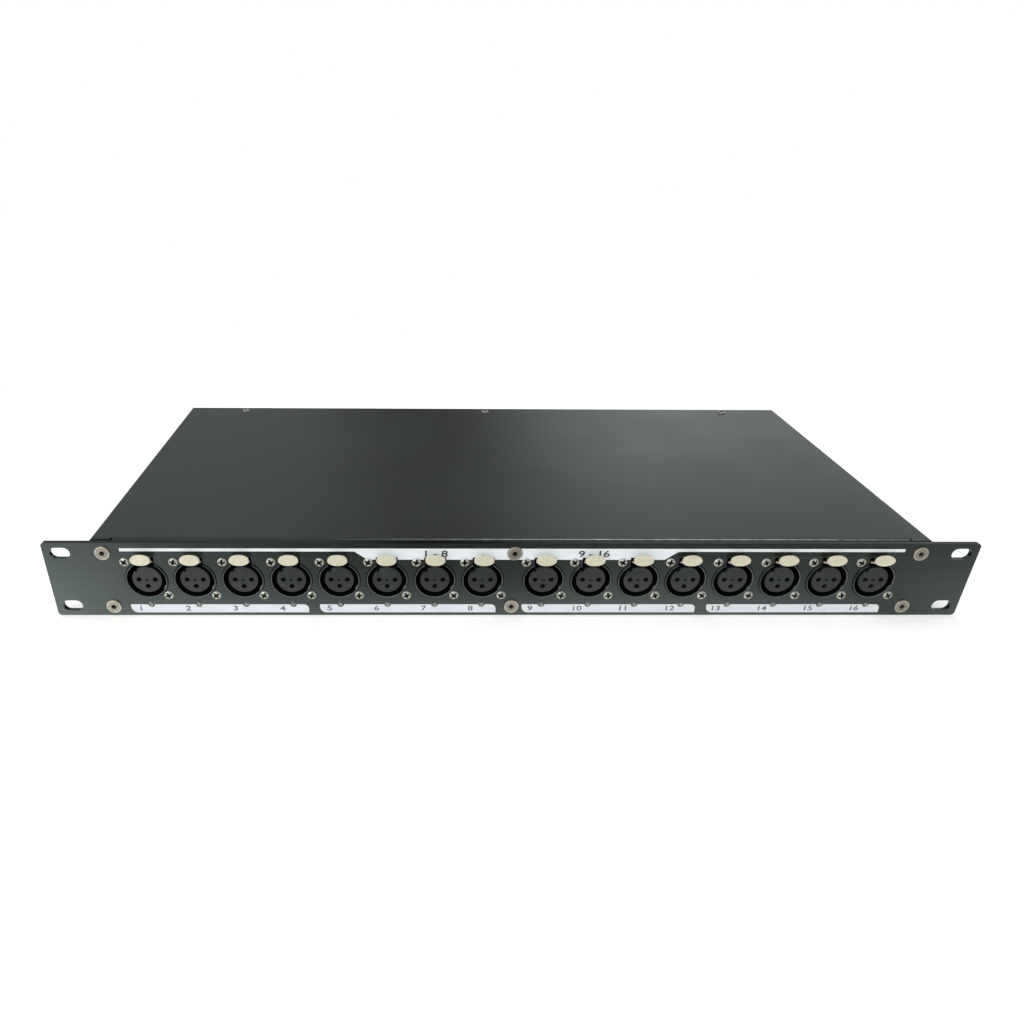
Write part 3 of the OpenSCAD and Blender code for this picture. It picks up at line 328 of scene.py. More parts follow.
reflectionCard = {
    "distance": 2.0,
    "hex": "#F7FFFD",
    "columns": [-4.0, -1.0, -0.7, -0.385, -0.217, -0.05, 0.167, 0.385, 0.6, 0.82, 1.04, 1.3, 4.0],
    # height on the card in metres, and its brightness there under each column
    "rows": [
        (0.24, [0.44, 0.44, 0.46, 0.52, 0.19, 0.00, 0.20, 1.22, 2.20, 1.85, 1.55, 1.32, 1.15]),
        (0.65, [0.44, 0.44, 0.46, 0.52, 0.19, 0.00, 0.20, 1.22, 2.20, 1.85, 1.55, 1.32, 1.15]),
        (0.83, [0.37, 0.37, 0.52, 0.44, 0.19, 0.03, 0.17, 0.79, 0.96, 0.92, 0.81, 0.77, 0.72]),
        (1.06, [0.53, 0.53, 0.52, 0.49, 0.26, 0.04, 0.13, 0.25, 0.29, 0.30, 0.33, 0.38, 0.50]),
        (3.20, [0.44, 0.44, 0.44, 0.42, 0.28, 0.06, 0.15, 0.28, 0.35, 0.36, 0.37, 0.40, 0.43]),
    ],
}


def makeCard(spec):
    # an upright grid of columns and rows: the case's lid mirrors its light and dark bands
    x = np.array(spec["columns"])
    z = np.array([row[0] for row in spec["rows"]])
    mesh = bpy.data.meshes.new("card")
    points = np.stack(np.broadcast_arrays(x[None, :], spec["distance"], z[:, None]), -1).reshape(-1, 3)
    mesh.from_pydata(points.tolist(), [], gridQuads(len(z), len(x)).tolist())
    glow = np.array([row[1] for row in spec["rows"]]).reshape(-1)
    mesh.attributes.new("level", "FLOAT", "POINT").data.foreach_set("value", glow.astype(np.float32))
    finish, tree, _ = startFinish("card_light")
    level = addNode(tree, "Attribute", output="Fac", attribute_name="level")
    addNode(tree, "OutputMaterial", [addNode(tree, "Emission", {"Color": spec["hex"], "Strength": level})])
    mesh.materials.append(finish)
    card = bpy.data.objects.new("card", mesh)
    card.visible_camera = False
    card.visible_diffuse = False
    card.visible_shadow = False
    card.visible_transmission = False
    collection.objects.link(card)


lamps = {
    "overhead": {"place": (-0.3, 0.2, 1.6), "aim": (0, 0.1, 0), "size": (1.6, 1.2), "watts": 9.0,
                 "glossy": False},
    "front_left": {"place": (-0.8, -0.9, 0.65), "aim": (-0.15, 0, 0), "size": (0.8, 0.6), "watts": 6.0,
                   "glossy": True},
    "front_soft": {"place": (0.1, -1.5, 1.0), "aim": (0, 0, 0), "size": (1.8, 0.8), "watts": 5.0,
                   "glossy": False},
}


def makeLamp(name, spec):
    data = bpy.data.lights.new(name, "AREA")
    data.shape = "RECTANGLE"
    data.size, data.size_y = spec["size"]
    data.energy = spec["watts"]
    lamp = bpy.data.objects.new(name, data)
    lamp.location = spec["place"]
    direction = np.array(spec["aim"]) - np.array(spec["place"])
    yaw = math.atan2(direction[0], -direction[1])
    pitch = math.atan2(math.hypot(direction[0], direction[1]), -direction[2])
    lamp.rotation_euler = (pitch, 0, yaw + math.pi)
    lamp.visible_camera = False
    lamp.visible_glossy = spec["glossy"]
    collection.objects.link(lamp)


makeFloor(stage)
makeWorld(stage)
makeCard(reflectionCard)
for lampName, lampSpec in lamps.items():
    makeLamp(lampName, lampSpec)
print("stage made")


# Finishes

panelMetal = {
    "hexes": ("#555C59", "#5D6562"),
    "grainMm": (22, 40, 0.35),
    "streakMm": (60, 40, 1.6),
    "streakShare": 0.4,
    "ends": (0.35, 0.65),  # nearly all values of grain and streaks together lie between these
    "rimHighlightHex": "#7A817F",
    "rimHighlightMm": (0.15, 0.45),  # the painted highlight of a light rim, up from the panel's lower edge
    "crownShadeHex": "#343937",
    "crownShadeMm": (0.08, 0.02),  # the painted shade of a dark crown, down from its upper edge
    "roughness": (0.25, 0.31),
    "anisotropic": 0.75,
    "bump": {"Distance": 0.004 * mm, "Strength": 0.4},
}


def panelFinish(spec):
    # black anodised aluminium, brushed along its length: a tight horizontal grain that
    # draws every reflection out up and down; the real grain of 0.1 mm is drawn 0.35 mm high
    finish, tree, place = startFinish("brushed_black_anodised_aluminium")
    cells = [addNode(tree, "Mapping", {"Vector": place, "Scale": [1 / (s * mm) for s in spec[key]]})
             for key in ("grainMm", "streakMm")]
    grain = addNode(tree, "TexNoise", {"Vector": cells[0], "Scale": 1.0, "Detail": 4.0, "Roughness": 0.6})
    streak = addNode(tree, "TexNoise", {"Vector": cells[1], "Scale": 1.0})
    both = addNode(tree, "Mix", {0: spec["streakShare"], 2: grain, 3: streak})
    shade = addNode(tree, "ValToRGB", [both], stops=zip(spec["ends"], spec["hexes"]))
    up = addNode(tree, "SeparateXYZ", [place], "Z")
    # painted highlight: a lighter band up from the panel's lower edge
    rim = addNode(tree, "MapRange", [up, *[panelLow.z + r * mm for r in spec["rimHighlightMm"]], 1.0, 0.0])
    shade = addNode(tree, "Mix", {0: rim, 6: shade, 7: spec["rimHighlightHex"]}, 2, data_type="RGBA")
    # painted shade: a darker band down from the panel's upper edge
    crown = addNode(tree, "MapRange", [up, *[panelHigh.z - c * mm for c in spec["crownShadeMm"]]])
    shade = addNode(tree, "Mix", {0: crown, 6: shade, 7: spec["crownShadeHex"]}, 2, data_type="RGBA")
    addNode(tree, "OutputMaterial", [addNode(tree, "BsdfPrincipled", {
        "Base Color": shade,
        "Metallic": 1.0,
        "Roughness": addNode(tree, "MapRange", [both, *spec["ends"], *spec["roughness"]]),
        "Anisotropic": spec["anisotropic"],
        "Tangent": addNode(tree, "Tangent", direction_type="UV_MAP", uv_map="grain"),
        "Normal": addNode(tree, "Bump", {"Height": grain, **spec["bump"]}),
    })])
    return finish


powderCoat = {
    "hexes": ("#202322", "#272B2A"),
    "peelMm": 0.7,
    "cloudMm": 60.0,
    "roughness": (0.36, 0.42),
    "gloss": 0.5,
    "bump": {"Distance": 0.012 * mm, "Strength": 0.35},
}
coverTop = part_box("top_cover")[1].z
# a painted highlight along the lid's front fold, drawn as a light grey line in patches
paintedFoldHighlight = {
    "hex": "#A6ACAA",
    "crestMm": (2.35, 3.25),  # from the front of the painted highlight line to its back
    "crest": [(0.0, 0.0), (0.3, 1.0), (0.7, 1.0), (1.0, 0.0)],
    "bendMm": (3.41, 4.49),  # where the sheet starts to bend it mirrors less
    "bendGloss": 0.22,
    "fromZ": coverTop - 0.7 * mm,
    "toZ": coverTop - 0.5 * mm,
    "patchMm": 5.0,
    "patchEnds": (0.35, 1.0),
    "alongHalf": 0.22,
    # how much of the line shows at places along X
    "along": [(-0.22, 0.0), (-0.1, 0.0), (-0.05, 0.3), (-0.02, 0.6), (0.03, 1.0), (0.12, 1.0), (0.2, 0.45),
              (0.22, 0.3)],
}


def paintFoldHighlight(tree, place, base, gloss, spec):
    # a painted highlight: a light grey line along the lid's front fold, in patches,
    # and the gloss that falls where the sheet starts to bend
    x, back, up = [addNode(tree, "SeparateXYZ", [place], axis) for axis in "XYZ"]
    half = spec["alongHalf"]
    patches = addNode(tree, "TexNoise", {"Vector": place, "Scale": 1 / (spec["patchMm"] * mm), "Detail": 4.0})
    across = addNode(tree, "MapRange", [back, *[y * mm for y in spec["crestMm"]]])
    along = addNode(tree, "MapRange", [x, -half, half])
    line = addNode(tree, "ValToRGB", [across], stops=spec["crest"])
    for share in (addNode(tree, "MapRange", [up, spec["fromZ"], spec["toZ"]]),
                  addNode(tree, "MapRange", [patches, *noiseEnds, *spec["patchEnds"]]),
                  addNode(tree, "ValToRGB", [along], stops=scaledStops(spec["along"], -half, half))):
        line = addNode(tree, "Math", [line, share], operation="MULTIPLY")
    bend = addNode(tree, "MapRange", [back, *[y * mm for y in spec["bendMm"]]])
    bendStops = zip((0.0, 0.25, 0.75, 1.0), (gloss, spec["bendGloss"], spec["bendGloss"], gloss))
    return (addNode(tree, "Mix", {0: line, 6: base, 7: spec["hex"]}, 2, data_type="RGBA"),
            addNode(tree, "ValToRGB", [bend], stops=bendStops))


def coatFinish(name, spec, foldHighlight=None):
    # black powder coat on steel: a baked film with a fine orange peel, softly glossy at a
    # low angle; its 0.4 mm peel is drawn 0.7 mm wide; a painted highlight can lie along a fold as a light grey
    # line
    finish, tree, place = startFinish(name)
    peel = addNode(tree, "TexNoise", {"Vector": place, "Scale": 1 / (spec["peelMm"] * mm), "Detail": 3.0})
    cloud = addNode(tree, "TexNoise", {"Vector": place, "Scale": 1 / (spec["cloudMm"] * mm), "Detail": 3.0})
    base = addNode(tree, "ValToRGB", [cloud], stops=zip(noiseEnds, spec["hexes"]))
    gloss = spec["gloss"]
    if foldHighlight:
        base, gloss = paintFoldHighlight(tree, place, base, gloss, foldHighlight)
    addNode(tree, "OutputMaterial", [addNode(tree, "BsdfPrincipled", {
        "Base Color": base,
        "Roughness": addNode(tree, "MapRange", [cloud, *noiseEnds, *spec["roughness"]]),
        "Specular IOR Level": gloss,
        "Normal": addNode(tree, "Bump", {"Height": peel, **spec["bump"]}),
    })])
    return finish


screenInk = {
    "weaveMm": 0.5,
    "cloudMm": (14, 14, 5),
    "roughness": (0.44, 0.56),
    "bump": {"Distance": 0.004 * mm, "Strength": 0.4},
}


def inkFinish(name, hexes, spec=screenInk):
    # screen-printed two-part ink: flat and slightly uneven where the mesh of the screen laid it
    finish, tree, place = startFinish(name)
    weave = addNode(tree, "TexNoise", {"Vector": place, "Scale": 1 / (spec["weaveMm"] * mm)})
    cells = addNode(tree, "Mapping", {"Vector": place, "Scale": [1 / (s * mm) for s in spec["cloudMm"]]})
    cloud = addNode(tree, "TexNoise", {"Vector": cells, "Scale": 1.0})
    addNode(tree, "OutputMaterial", [addNode(tree, "BsdfPrincipled", {
        "Base Color": addNode(tree, "ValToRGB", [cloud], stops=zip(noiseEnds, hexes)),
        "Roughness": addNode(tree, "MapRange", [weave, *noiseEnds, *spec["roughness"]]),
        "Normal": addNode(tree, "Bump", {"Height": weave, **spec["bump"]}),
    })])
    return finish


mouldedPlastic = {
    "cloudMm": 7.0,
    "smoother": 0.05,
    "rougher": 0.06,
    "bump": {"Distance": 0.008 * mm, "Strength": 0.35},
}


def plasticFinish(name, hexes, roughness, peelMm=0.9, gloss=0.5, spec=mouldedPlastic):
    # moulded plastic, such as glass-filled nylon: an even colour with the faint bloom and the
    # slight waviness of the mould's surface
    finish, tree, place = startFinish(name)
    peel = addNode(tree, "TexNoise", {"Vector": place, "Scale": 1 / (peelMm * mm), "Detail": 3.0})
    cloud = addNode(tree, "TexNoise", {"Vector": place, "Scale": 1 / (spec["cloudMm"] * mm)})
    ends = (roughness - spec["smoother"], roughness + spec["rougher"])
    addNode(tree, "OutputMaterial", [addNode(tree, "BsdfPrincipled", {
        "Base Color": addNode(tree, "ValToRGB", [cloud], stops=zip(noiseEnds, hexes)),
        "Roughness": addNode(tree, "MapRange", [cloud, *noiseEnds, *ends]),
        "Specular IOR Level": gloss,
        "Normal": addNode(tree, "Bump", {"Height": peel, **spec["bump"]}),
    })])
    return finish


platedMetal = {
    "stainMm": 2.2,
    "grainMm": 0.5,
    "rougher": 0.07,
    "smoother": 0.05,
    # painted shade for the recesses
    "recessShadeHex": "#0E0D0B",
    "shadedHex": "#1E1D1A",
    "shadedMm": 0.7,  # over which the painted shade sets in
    "bump": {"Distance": 0.003 * mm, "Strength": 0.5},
}


def metalFinish(name, hexes, roughness, metallic=1.0, shadeRecesses=False, shadedFrom=None, spec=platedMetal):
    # plated metal: a coloured mirror dulled by tumbling, with small stains in the plating;
    # the level drawn on a piece tells how deep its recesses are, where painted shade darkens them,
    # and what lies behind shadedFrom along Y is painted dark as shade
    finish, tree, place = startFinish(name)
    stain = addNode(tree, "TexNoise", {"Vector": place, "Scale": 1 / (spec["stainMm"] * mm), "Detail": 3.0})
    grain = addNode(tree, "TexNoise", {"Vector": place, "Scale": 1 / (spec["grainMm"] * mm), "Detail": 3.0})
    base = addNode(tree, "ValToRGB", [stain], stops=zip(noiseEnds, hexes))
    if shadeRecesses:
        # painted shade in the recesses, by their level
        level = addNode(tree, "Attribute", output="Fac", attribute_name="level")
        base = addNode(tree, "Mix", {0: level, 6: base, 7: spec["recessShadeHex"]}, 2, data_type="RGBA")
    if shadedFrom is not None:
        # painted shade on what lies behind shadedFrom
        back = addNode(tree, "SeparateXYZ", [place], "Y")
        depth = addNode(tree, "MapRange", [back, shadedFrom, shadedFrom + spec["shadedMm"] * mm])
        base = addNode(tree, "Mix", {0: depth, 6: base, 7: spec["shadedHex"]}, 2, data_type="RGBA")
    ends = (roughness + spec["rougher"], roughness - spec["smoother"])
    addNode(tree, "OutputMaterial", [addNode(tree, "BsdfPrincipled", {
        "Base Color": base,
        "Metallic": metallic,
        "Roughness": addNode(tree, "MapRange", [stain, *noiseEnds, *ends]),
        "Normal": addNode(tree, "Bump", {"Height": grain, **spec["bump"]}),
    })])
    return finish


turnedHead = {
    "radiusMm": 3.9,
    "darkHex": "#0B0A09",
    "lightHex": "#D4CEBE",
    "reachMm": 4.2,
    # distance from the axis in millimetres, and how light the head is painted there, as light and shade
    "rings": [(0.0, 0.0), (1.15, 0.02), (1.4, 0.55), (2.2, 0.7), (2.5, 0.62), (2.75, 0.38), (2.95, 0.9),
              (3.6, 1.0), (3.85, 0.6), (4.2, 0.6)],
    "turningMm": 0.6,
    "metallic": 0.75,
    "roughness": (0.42, 0.32),
    "bump": {"Distance": 0.004 * mm, "Strength": 0.5},
}


def turnedFinish(spec):
    # turned and nickel-plated screw heads: rings of painted light and shade about each axis, with painted
    # shade inside the hexagon; the four outer heads stand in mirror places about a middle pair
    finish, tree, place = startFinish("nickel_plate_painted_light_and_shade")
    x, z = [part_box("panel_screws")[1][axis] - spec["radiusMm"] * mm for axis in (0, 2)]
    flat = addNode(tree, "VectorMath", [place, (1, 0, 1)], operation="MULTIPLY")
    folded = addNode(tree, "VectorMath", [flat], operation="ABSOLUTE")
    away = [addNode(tree, "VectorMath", [folded, axis], "Value", operation="DISTANCE")
            for axis in ((0, 0, z), (x, 0, z))]
    away = addNode(tree, "Math", away, operation="MINIMUM")
    away = addNode(tree, "MapRange", [away, 0.0, spec["reachMm"] * mm])
    shade = addNode(tree, "ValToRGB", [away], stops=scaledStops(spec["rings"], 0.0, spec["reachMm"]))
    turns = addNode(tree, "TexNoise", {"Vector": place, "Scale": 1 / (spec["turningMm"] * mm), "Detail": 3.0})
    addNode(tree, "OutputMaterial", [addNode(tree, "BsdfPrincipled", {
        "Base Color": addNode(tree, "Mix", {0: shade, 6: spec["darkHex"], 7: spec["lightHex"]}, 2,
                              data_type="RGBA"),
        "Metallic": spec["metallic"],
        "Roughness": addNode(tree, "MapRange", [turns, *noiseEnds, *spec["roughness"]]),
        "Normal": addNode(tree, "Bump", {"Height": turns, **spec["bump"]}),
    })])
    return finish


clearEpoxy = {
    "hexes": ("#D4D8DA", "#E6EAEA"),
    "swirlMm": 1.2,
    "roughness": (0.04, 0.1),
    "ior": 1.53,
    "transmission": 0.92,
}


def lensFinish(spec):
    # clear epoxy of a lamp: water-clear with a faint grey, cast very smooth
    finish, tree, place = startFinish("clear_epoxy")
    swirl = addNode(tree, "TexNoise", {"Vector": place, "Scale": 1 / (spec["swirlMm"] * mm)})
    addNode(tree, "OutputMaterial", [addNode(tree, "BsdfPrincipled", {
        "Base Color": addNode(tree, "ValToRGB", [swirl], stops=zip(noiseEnds, spec["hexes"])),
        "Roughness": addNode(tree, "MapRange", [swirl, *noiseEnds, *spec["roughness"]]),
        "IOR": spec["ior"],
        "Transmission Weight": spec["transmission"],
    })])
    return finish


boardFilm = {
    "cellMm": 9.0,
    "trackShare": 0.03,  # sizes of the tracks in shares of a cell
    "widthShare": 1.6,
    "rowShare": 0.32,
    "fleckMm": 2.5,
    "padEnds": (0.69, 0.7),  # only the highest flecks are tinned pads
    "roughness": (0.28, 0.4),
    "bump": {"Distance": 0.03 * mm, "Strength": 0.6},
}


def boardFinish(name, maskHex, trackHex, tinHex, spec=boardFilm):
    # solder resist over copper tracks on glass epoxy: slightly raised lines under a glossy film
    finish, tree, place = startFinish(name)
    tracks = addNode(tree, "TexBrick", {
        "Vector": place,
        "Color1": "#000000",
        "Color2": "#000000",
        "Mortar": "#FFFFFF",
        "Scale": 1 / (spec["cellMm"] * mm),
        "Mortar Size": spec["trackShare"],
        "Brick Width": spec["widthShare"],
        "Row Height": spec["rowShare"],
    }, "Fac")
    flecks = addNode(tree, "TexNoise", {"Vector": place, "Scale": 1 / (spec["fleckMm"] * mm)})
    pads = addNode(tree, "MapRange", [flecks, *spec["padEnds"]])
    film = addNode(tree, "Mix", {0: tracks, 6: maskHex, 7: trackHex}, 2, data_type="RGBA")
    addNode(tree, "OutputMaterial", [addNode(tree, "BsdfPrincipled", {
        "Base Color": addNode(tree, "Mix", {0: pads, 6: film, 7: tinHex}, 2, data_type="RGBA"),
        "Roughness": addNode(tree, "MapRange", [flecks, *noiseEnds, *spec["roughness"]]),
        "Normal": addNode(tree, "Bump", {"Height": tracks, **spec["bump"]}),
    })])
    return finish


layered = {
    "meetMm": 0.05,  # half the width of the line where the two materials meet
    "cloudMm": 1.5,
    "cloudHexes": ("#D8D8D8", "#FFFFFF"),
    "bump": {"Distance": 0.01 * mm, "Strength": 0.3},
}


def layeredFinish(name, axis, meetAt, hexes, metallic, roughness, spec=layered):
    # two materials on one piece that meet across one axis, such as a bare can and its sleeve;
    # metallic is one number for both or a pair
    finish, tree, place = startFinish(name)
    meet = spec["meetMm"] * mm
    share = addNode(tree, "SeparateXYZ", [place], axis)
    share = addNode(tree, "MapRange", [share, meetAt - meet, meetAt + meet])
    cloud = addNode(tree, "TexNoise", {"Vector": place, "Scale": 1 / (spec["cloudMm"] * mm), "Detail": 3.0})
    shade = addNode(tree, "ValToRGB", [cloud], stops=zip(noiseEnds, spec["cloudHexes"]))
    base = addNode(tree, "Mix", {0: share, 6: hexes[0], 7: hexes[1]}, 2, data_type="RGBA")
    base = addNode(tree, "Mix", {0: 1.0, 6: base, 7: shade}, 2, data_type="RGBA", blend_type="MULTIPLY")
    if isinstance(metallic, tuple):
        metallic = addNode(tree, "MapRange", [share, 0.0, 1.0, *metallic])
    addNode(tree, "OutputMaterial", [addNode(tree, "BsdfPrincipled", {
        "Base Color": base,
        "Metallic": metallic,
        "Roughness": roughness,
        "Normal": addNode(tree, "Bump", {"Height": cloud, **spec["bump"]}),
    })])
    return finish


tabShadeFrom = faceY - 0.4 * mm  # the tabs are bright up to here, and painted dark as shade behind it
finishes = {
    "panel": panelFinish(panelMetal),
    "coat": coatFinish("black_powder_coat", powderCoat),
    "lidCoat": coatFinish("black_powder_coat_painted_fold_highlight", powderCoat, paintedFoldHighlight),
    "whiteInk": inkFinish("white_screen_ink", ("#D6DCE0", "#DEE3E7")),
    "darkInk": inkFinish("dark_screen_ink", ("#2E3236", "#3A3F44")),
    "greyInk": inkFinish("grey_screen_ink", ("#646A70", "#72787E")),
    "shell": plasticFinish("black_moulded_nylon", ("#0B0B0C", "#111113"), roughness=0.27),
    # the rings' lighter grey is a painted reflection on black nylon
    "ring": plasticFinish("black_nylon_painted_reflection", ("#4E5356", "#585D60"), roughness=0.3),
    "carrier": plasticFinish("dark_grey_moulded_nylon", ("#191E20", "#1F2527"), roughness=0.42, gloss=0.85),
    "tab": metalFinish("satin_nickel_plate", ("#DCD8BF", "#E8E4CE"), roughness=0.4, metallic=0.35,
                       shadedFrom=tabShadeFrom),
    "screw": metalFinish("bright_nickel_plate", ("#BFC0B4", "#D8D9CD"), roughness=0.38, metallic=0.65,
                         shadeRecesses=True),
    "plainScrew": metalFinish("dull_nickel_plate", ("#A6A6A1", "#BFBFBA"), roughness=0.38, metallic=0.8,
                              shadeRecesses=True),
    "panelScrew": turnedFinish(turnedHead),
    "pin": metalFinish("gold_flashed_pin", ("#B08D49", "#C9A55E"), roughness=0.3),
    # the contacts' gold is painted darker, as shade deep in their holes
    "contact": metalFinish("gold_flashed_brass_painted_shade", ("#6A5531", "#7C663C"), roughness=0.4),
    "spring": metalFinish("drawn_spring_wire", ("#9C9C9A", "#BDBDBB"), roughness=0.3),
    "lens": lensFinish(clearEpoxy),
    "greenBoard": boardFinish("green_solder_resist", "#0E4A2A", "#1D6B3C", "#C3C0B4"),
    "tanBoard": boardFinish("tan_paper_phenolic", "#6B5327", "#7F6533", "#C9B98A"),
    "inlet": plasticFinish("black_moulded_polyamide", ("#101012", "#18181A"), roughness=0.42),
    "switch": plasticFinish("polished_black_polycarbonate", ("#0C0C0E", "#121214"), roughness=0.2,
                            peelMm=3.0),
    "wire": plasticFinish("grey_soft_insulation", ("#77787C", "#8B8C90"), roughness=0.5, peelMm=1.6),
}
print("finishes made:", len(finishes))


# Panel and case

# each node's finish, the rounding of its edges in millimetres and its segments
casePieces = {
    "front_panel": ("panel", 0.25, 3),
    "chassis_tray": ("coat", 0.12, 2),
    "rear_panel": ("coat", 0.12, 2),
    "top_cover": ("lidCoat", 0.15, 2),
}


def refineAll(pieces):
    # all nodes of such a dictionary refined, and the pieces made of them
    return [refine(node, finishes[finish], bevelMm, segments)
            for node, (finish, bevelMm, segments) in pieces.items()]


def mapGrain(piece):
    # a map whose first axis runs up the panel, across the brushing
    mesh = piece.data
    grain = mesh.uv_layers.new(name="grain")
    corner = np.zeros(len(mesh.loops), np.int32)
    mesh.loops.foreach_get("vertex_index", corner)
    points = np.zeros(len(mesh.vertices) * 3)
    mesh.vertices.foreach_get("co", points)
    points = points.reshape(-1, 3)[corner]
    grain.data.foreach_set("uv", np.stack([points[:, 2], points[:, 0]], -1).reshape(-1))


mapGrain(refineAll(casePieces)[0])
coat("clinch_fasteners", finishes["spring"])
print("panel and case made")


# Printed strips on the panel, in millimetres

printing = {
    "thickness": 0.05,
    "thinLow": 17.15,
    "high": 18.9,
    "wideLow": 12.4,
    "left": -202.0,
    "right": 202.3,
    "wideLeft": -76.0,
    "wideRight": 78.0,
    "slope": 6.5,
    "notchHalf": 5.7,  # the strip leaves the opening above each ring free
    "notchHigh": 13.7,
    "screwHalf": 2.1,  # and the middle screw's shank, in a slot that narrows downwards
    "screwMouth": 0.525,
    "screwLow": 14.1,
    "screwHigh": 17.25,
    "labelLow": -20.2,
    "labelHigh": -15.1,
    "labels": [(-202, -108), (-102, -8.3), (5.6, 99), (105, 199)],
    "largeCorner": 3.4,
    "smallCorner": 2.7,
    "lampRoom": 1.75,  # radius left free round each lamp
    "cornerSteps": 8,
    "lampSteps": 13,
}


def arcPoints(cx, cz, radius, startDegrees, endDegrees, steps):
    # points on a circle: the middle plus radius times the cosine and sine of the angle
    a = np.radians(np.linspace(startDegrees, endDegrees, steps))
    return np.stack([cx + radius * np.cos(a), cz + radius * np.sin(a)], -1)


def sheetFrom(outline, thicknessMm):
    # a printed film: one outline carried from the panel's face to the film's own thickness
    n = len(outline)
    back = np.column_stack([outline[:, 0] * mm, np.full(n, faceY), outline[:, 1] * mm])
    front = back.copy()
    front[:, 1] -= thicknessMm * mm
    sides = gridQuads(2, n, ringed=True)
    return np.vstack([back, front]), [list(q) for q in sides] + [list(range(n))[::-1], list(range(n, 2 * n))]


def titleBand(spec):
    # thin line that widens in the middle, notched over each ring's opening
    low, high = spec["wideLow"], spec["notchHigh"]
    half, mouth = spec["screwHalf"], spec["screwMouth"]
    points = [(spec["left"], spec["thinLow"]), (spec["wideLeft"] - spec["slope"], spec["thinLow"]),
              (spec["wideLeft"], low)]
    for x in sorted(outputX + [0.0]):
        xMm = x / mm
        if xMm == 0:
            points += [(-mouth, low), (-half, spec["screwLow"]), (-half, spec["screwHigh"])]
            points += [(half, spec["screwHigh"]), (half, spec["screwLow"]), (mouth, low)]
        elif spec["wideLeft"] < xMm < spec["wideRight"]:
            left, right = xMm - spec["notchHalf"], xMm + spec["notchHalf"]
            points += [(left, low), (left, high), (right, high), (right, low)]
    points += [(spec["wideRight"], low), (spec["wideRight"] + spec["slope"], spec["thinLow"]),
               (spec["right"], spec["thinLow"]), (spec["right"], spec["high"]), (spec["left"], spec["high"])]
    return np.array(points)


def labelStrip(spec, x0, x1):
    # white label with two large corners, its upper edge notched round each lamp
    low, high = spec["labelLow"], spec["labelHigh"]
    big, small, room = spec["largeCorner"], spec["smallCorner"], spec["lampRoom"]
    steps = spec["cornerSteps"]
    parts = [arcPoints(x0 + big, low + big, big, 180, 270, steps), np.array([[x1, low]]),
             arcPoints(x1 - small, high - small, small, 0, 90, steps)]
    start = math.degrees(math.asin(np.clip((high - lampZ / mm) / room, -1, 1)))
    for x in sorted(outputX, reverse=True):
        if x0 < x / mm < x1:
            parts.append(arcPoints(x / mm, lampZ / mm, room, start, -180 - start, spec["lampSteps"]))
    parts.append(np.array([[x0, high]]))
    return np.vstack(parts)


strips = [sheetFrom(titleBand(printing), printing["thickness"])]
strips += [sheetFrom(labelStrip(printing, a, b), printing["thickness"]) for a, b in printing["labels"]]
putPiece("printed_strips", *mergeMeshes(strips), finishes["whiteInk"], "case", "anodised_panel",
         sharpDegrees=30)

numbering = {
    "height": 3.1,
    "boldness": 0.018,
    "left": 5.9,  # how far each number's middle lies left of its lamp
    "z": -17.5,
    "bandHeight": 3.8,
    "bandZ": 15.9,
    "bandX": 41.0,
    "stretch": 1.35,
    "lift": 0.02,  # from the strip's face to the middle of the number's film
    "film": 0.03,
}


def numberMesh(spec, text, heightMm, xMm, zMm):
    # a number in the plain built-in lettering, made a flat mesh that later gets a film's thickness
    curve = bpy.data.curves.new("number", "FONT")
    curve.body = text
    curve.align_x = "CENTER"
    curve.size = 1.0
    curve.offset = spec["boldness"]
    holder = bpy.data.objects.new("number", curve)
    flat = bpy.data.meshes.new_from_object(holder)
    points = np.zeros(len(flat.vertices) * 3)
    flat.vertices.foreach_get("co", points)
    points = points.reshape(-1, 3)
    scale = heightMm / (points[:, 1].max() - points[:, 1].min())
    x = points[:, 0] * scale * spec["stretch"] + xMm
    y = np.full(len(x), faceY - (printing["thickness"] + spec["lift"]) * mm)
    z = (points[:, 1] - points[:, 1].min()) * scale + zMm - heightMm / 2
    faces = [list(p.vertices) for p in flat.polygons]
    bpy.data.objects.remove(holder)
    bpy.data.curves.remove(curve)
    bpy.data.meshes.remove(flat)
    return np.column_stack([x * mm, y, z * mm]), faces


def printNumbers(spec, name, numbers, finish):
    # several numbers as one piece
    parts = [numberMesh(spec, *number) for number in numbers]
    piece = putPiece(name, *mergeMeshes(parts), finish, "case", "anodised_panel", sharpDegrees=30,
                     fixSides=False)
    film = piece.modifiers.new("film", "SOLIDIFY")
    film.thickness = spec["film"] * mm
    film.offset = 0.0


printNumbers(numbering, "output_numbers", [
    (str(k + 1), numbering["height"], x / mm - numbering["left"], numbering["z"])
    for k, x in enumerate(outputX)], finishes["greyInk"])
printNumbers(numbering, "group_numbers", [
    ("1 - 8", numbering["bandHeight"], -numbering["bandX"], numbering["bandZ"]),
    ("9 - 16", numbering["bandHeight"], numbering["bandX"], numbering["bandZ"]),
], finishes["darkInk"])
print("printing made")


# Sockets, latches and carriers

socketPieces = {
    "socket_shell_%02d": ("shell", 0.1, 2),
    "socket_latch_%02d": ("tab", 0.22, 3),
}
contactPieces = {
    "socket_inserts": ("carrier", 0.14, 2),
    "socket_contacts": ("contact", 0.0, 2),
}
socket = {
    "ringProud": 0.1 * mm,  # what stands further than this before the panel is the ring
    "ringOutward": 0.02,  # faces of the ring that look outwards by more than this stay black
    "earthRadius": 8.0 * mm,  # the earth springs lie further than this from their socket's axis
}


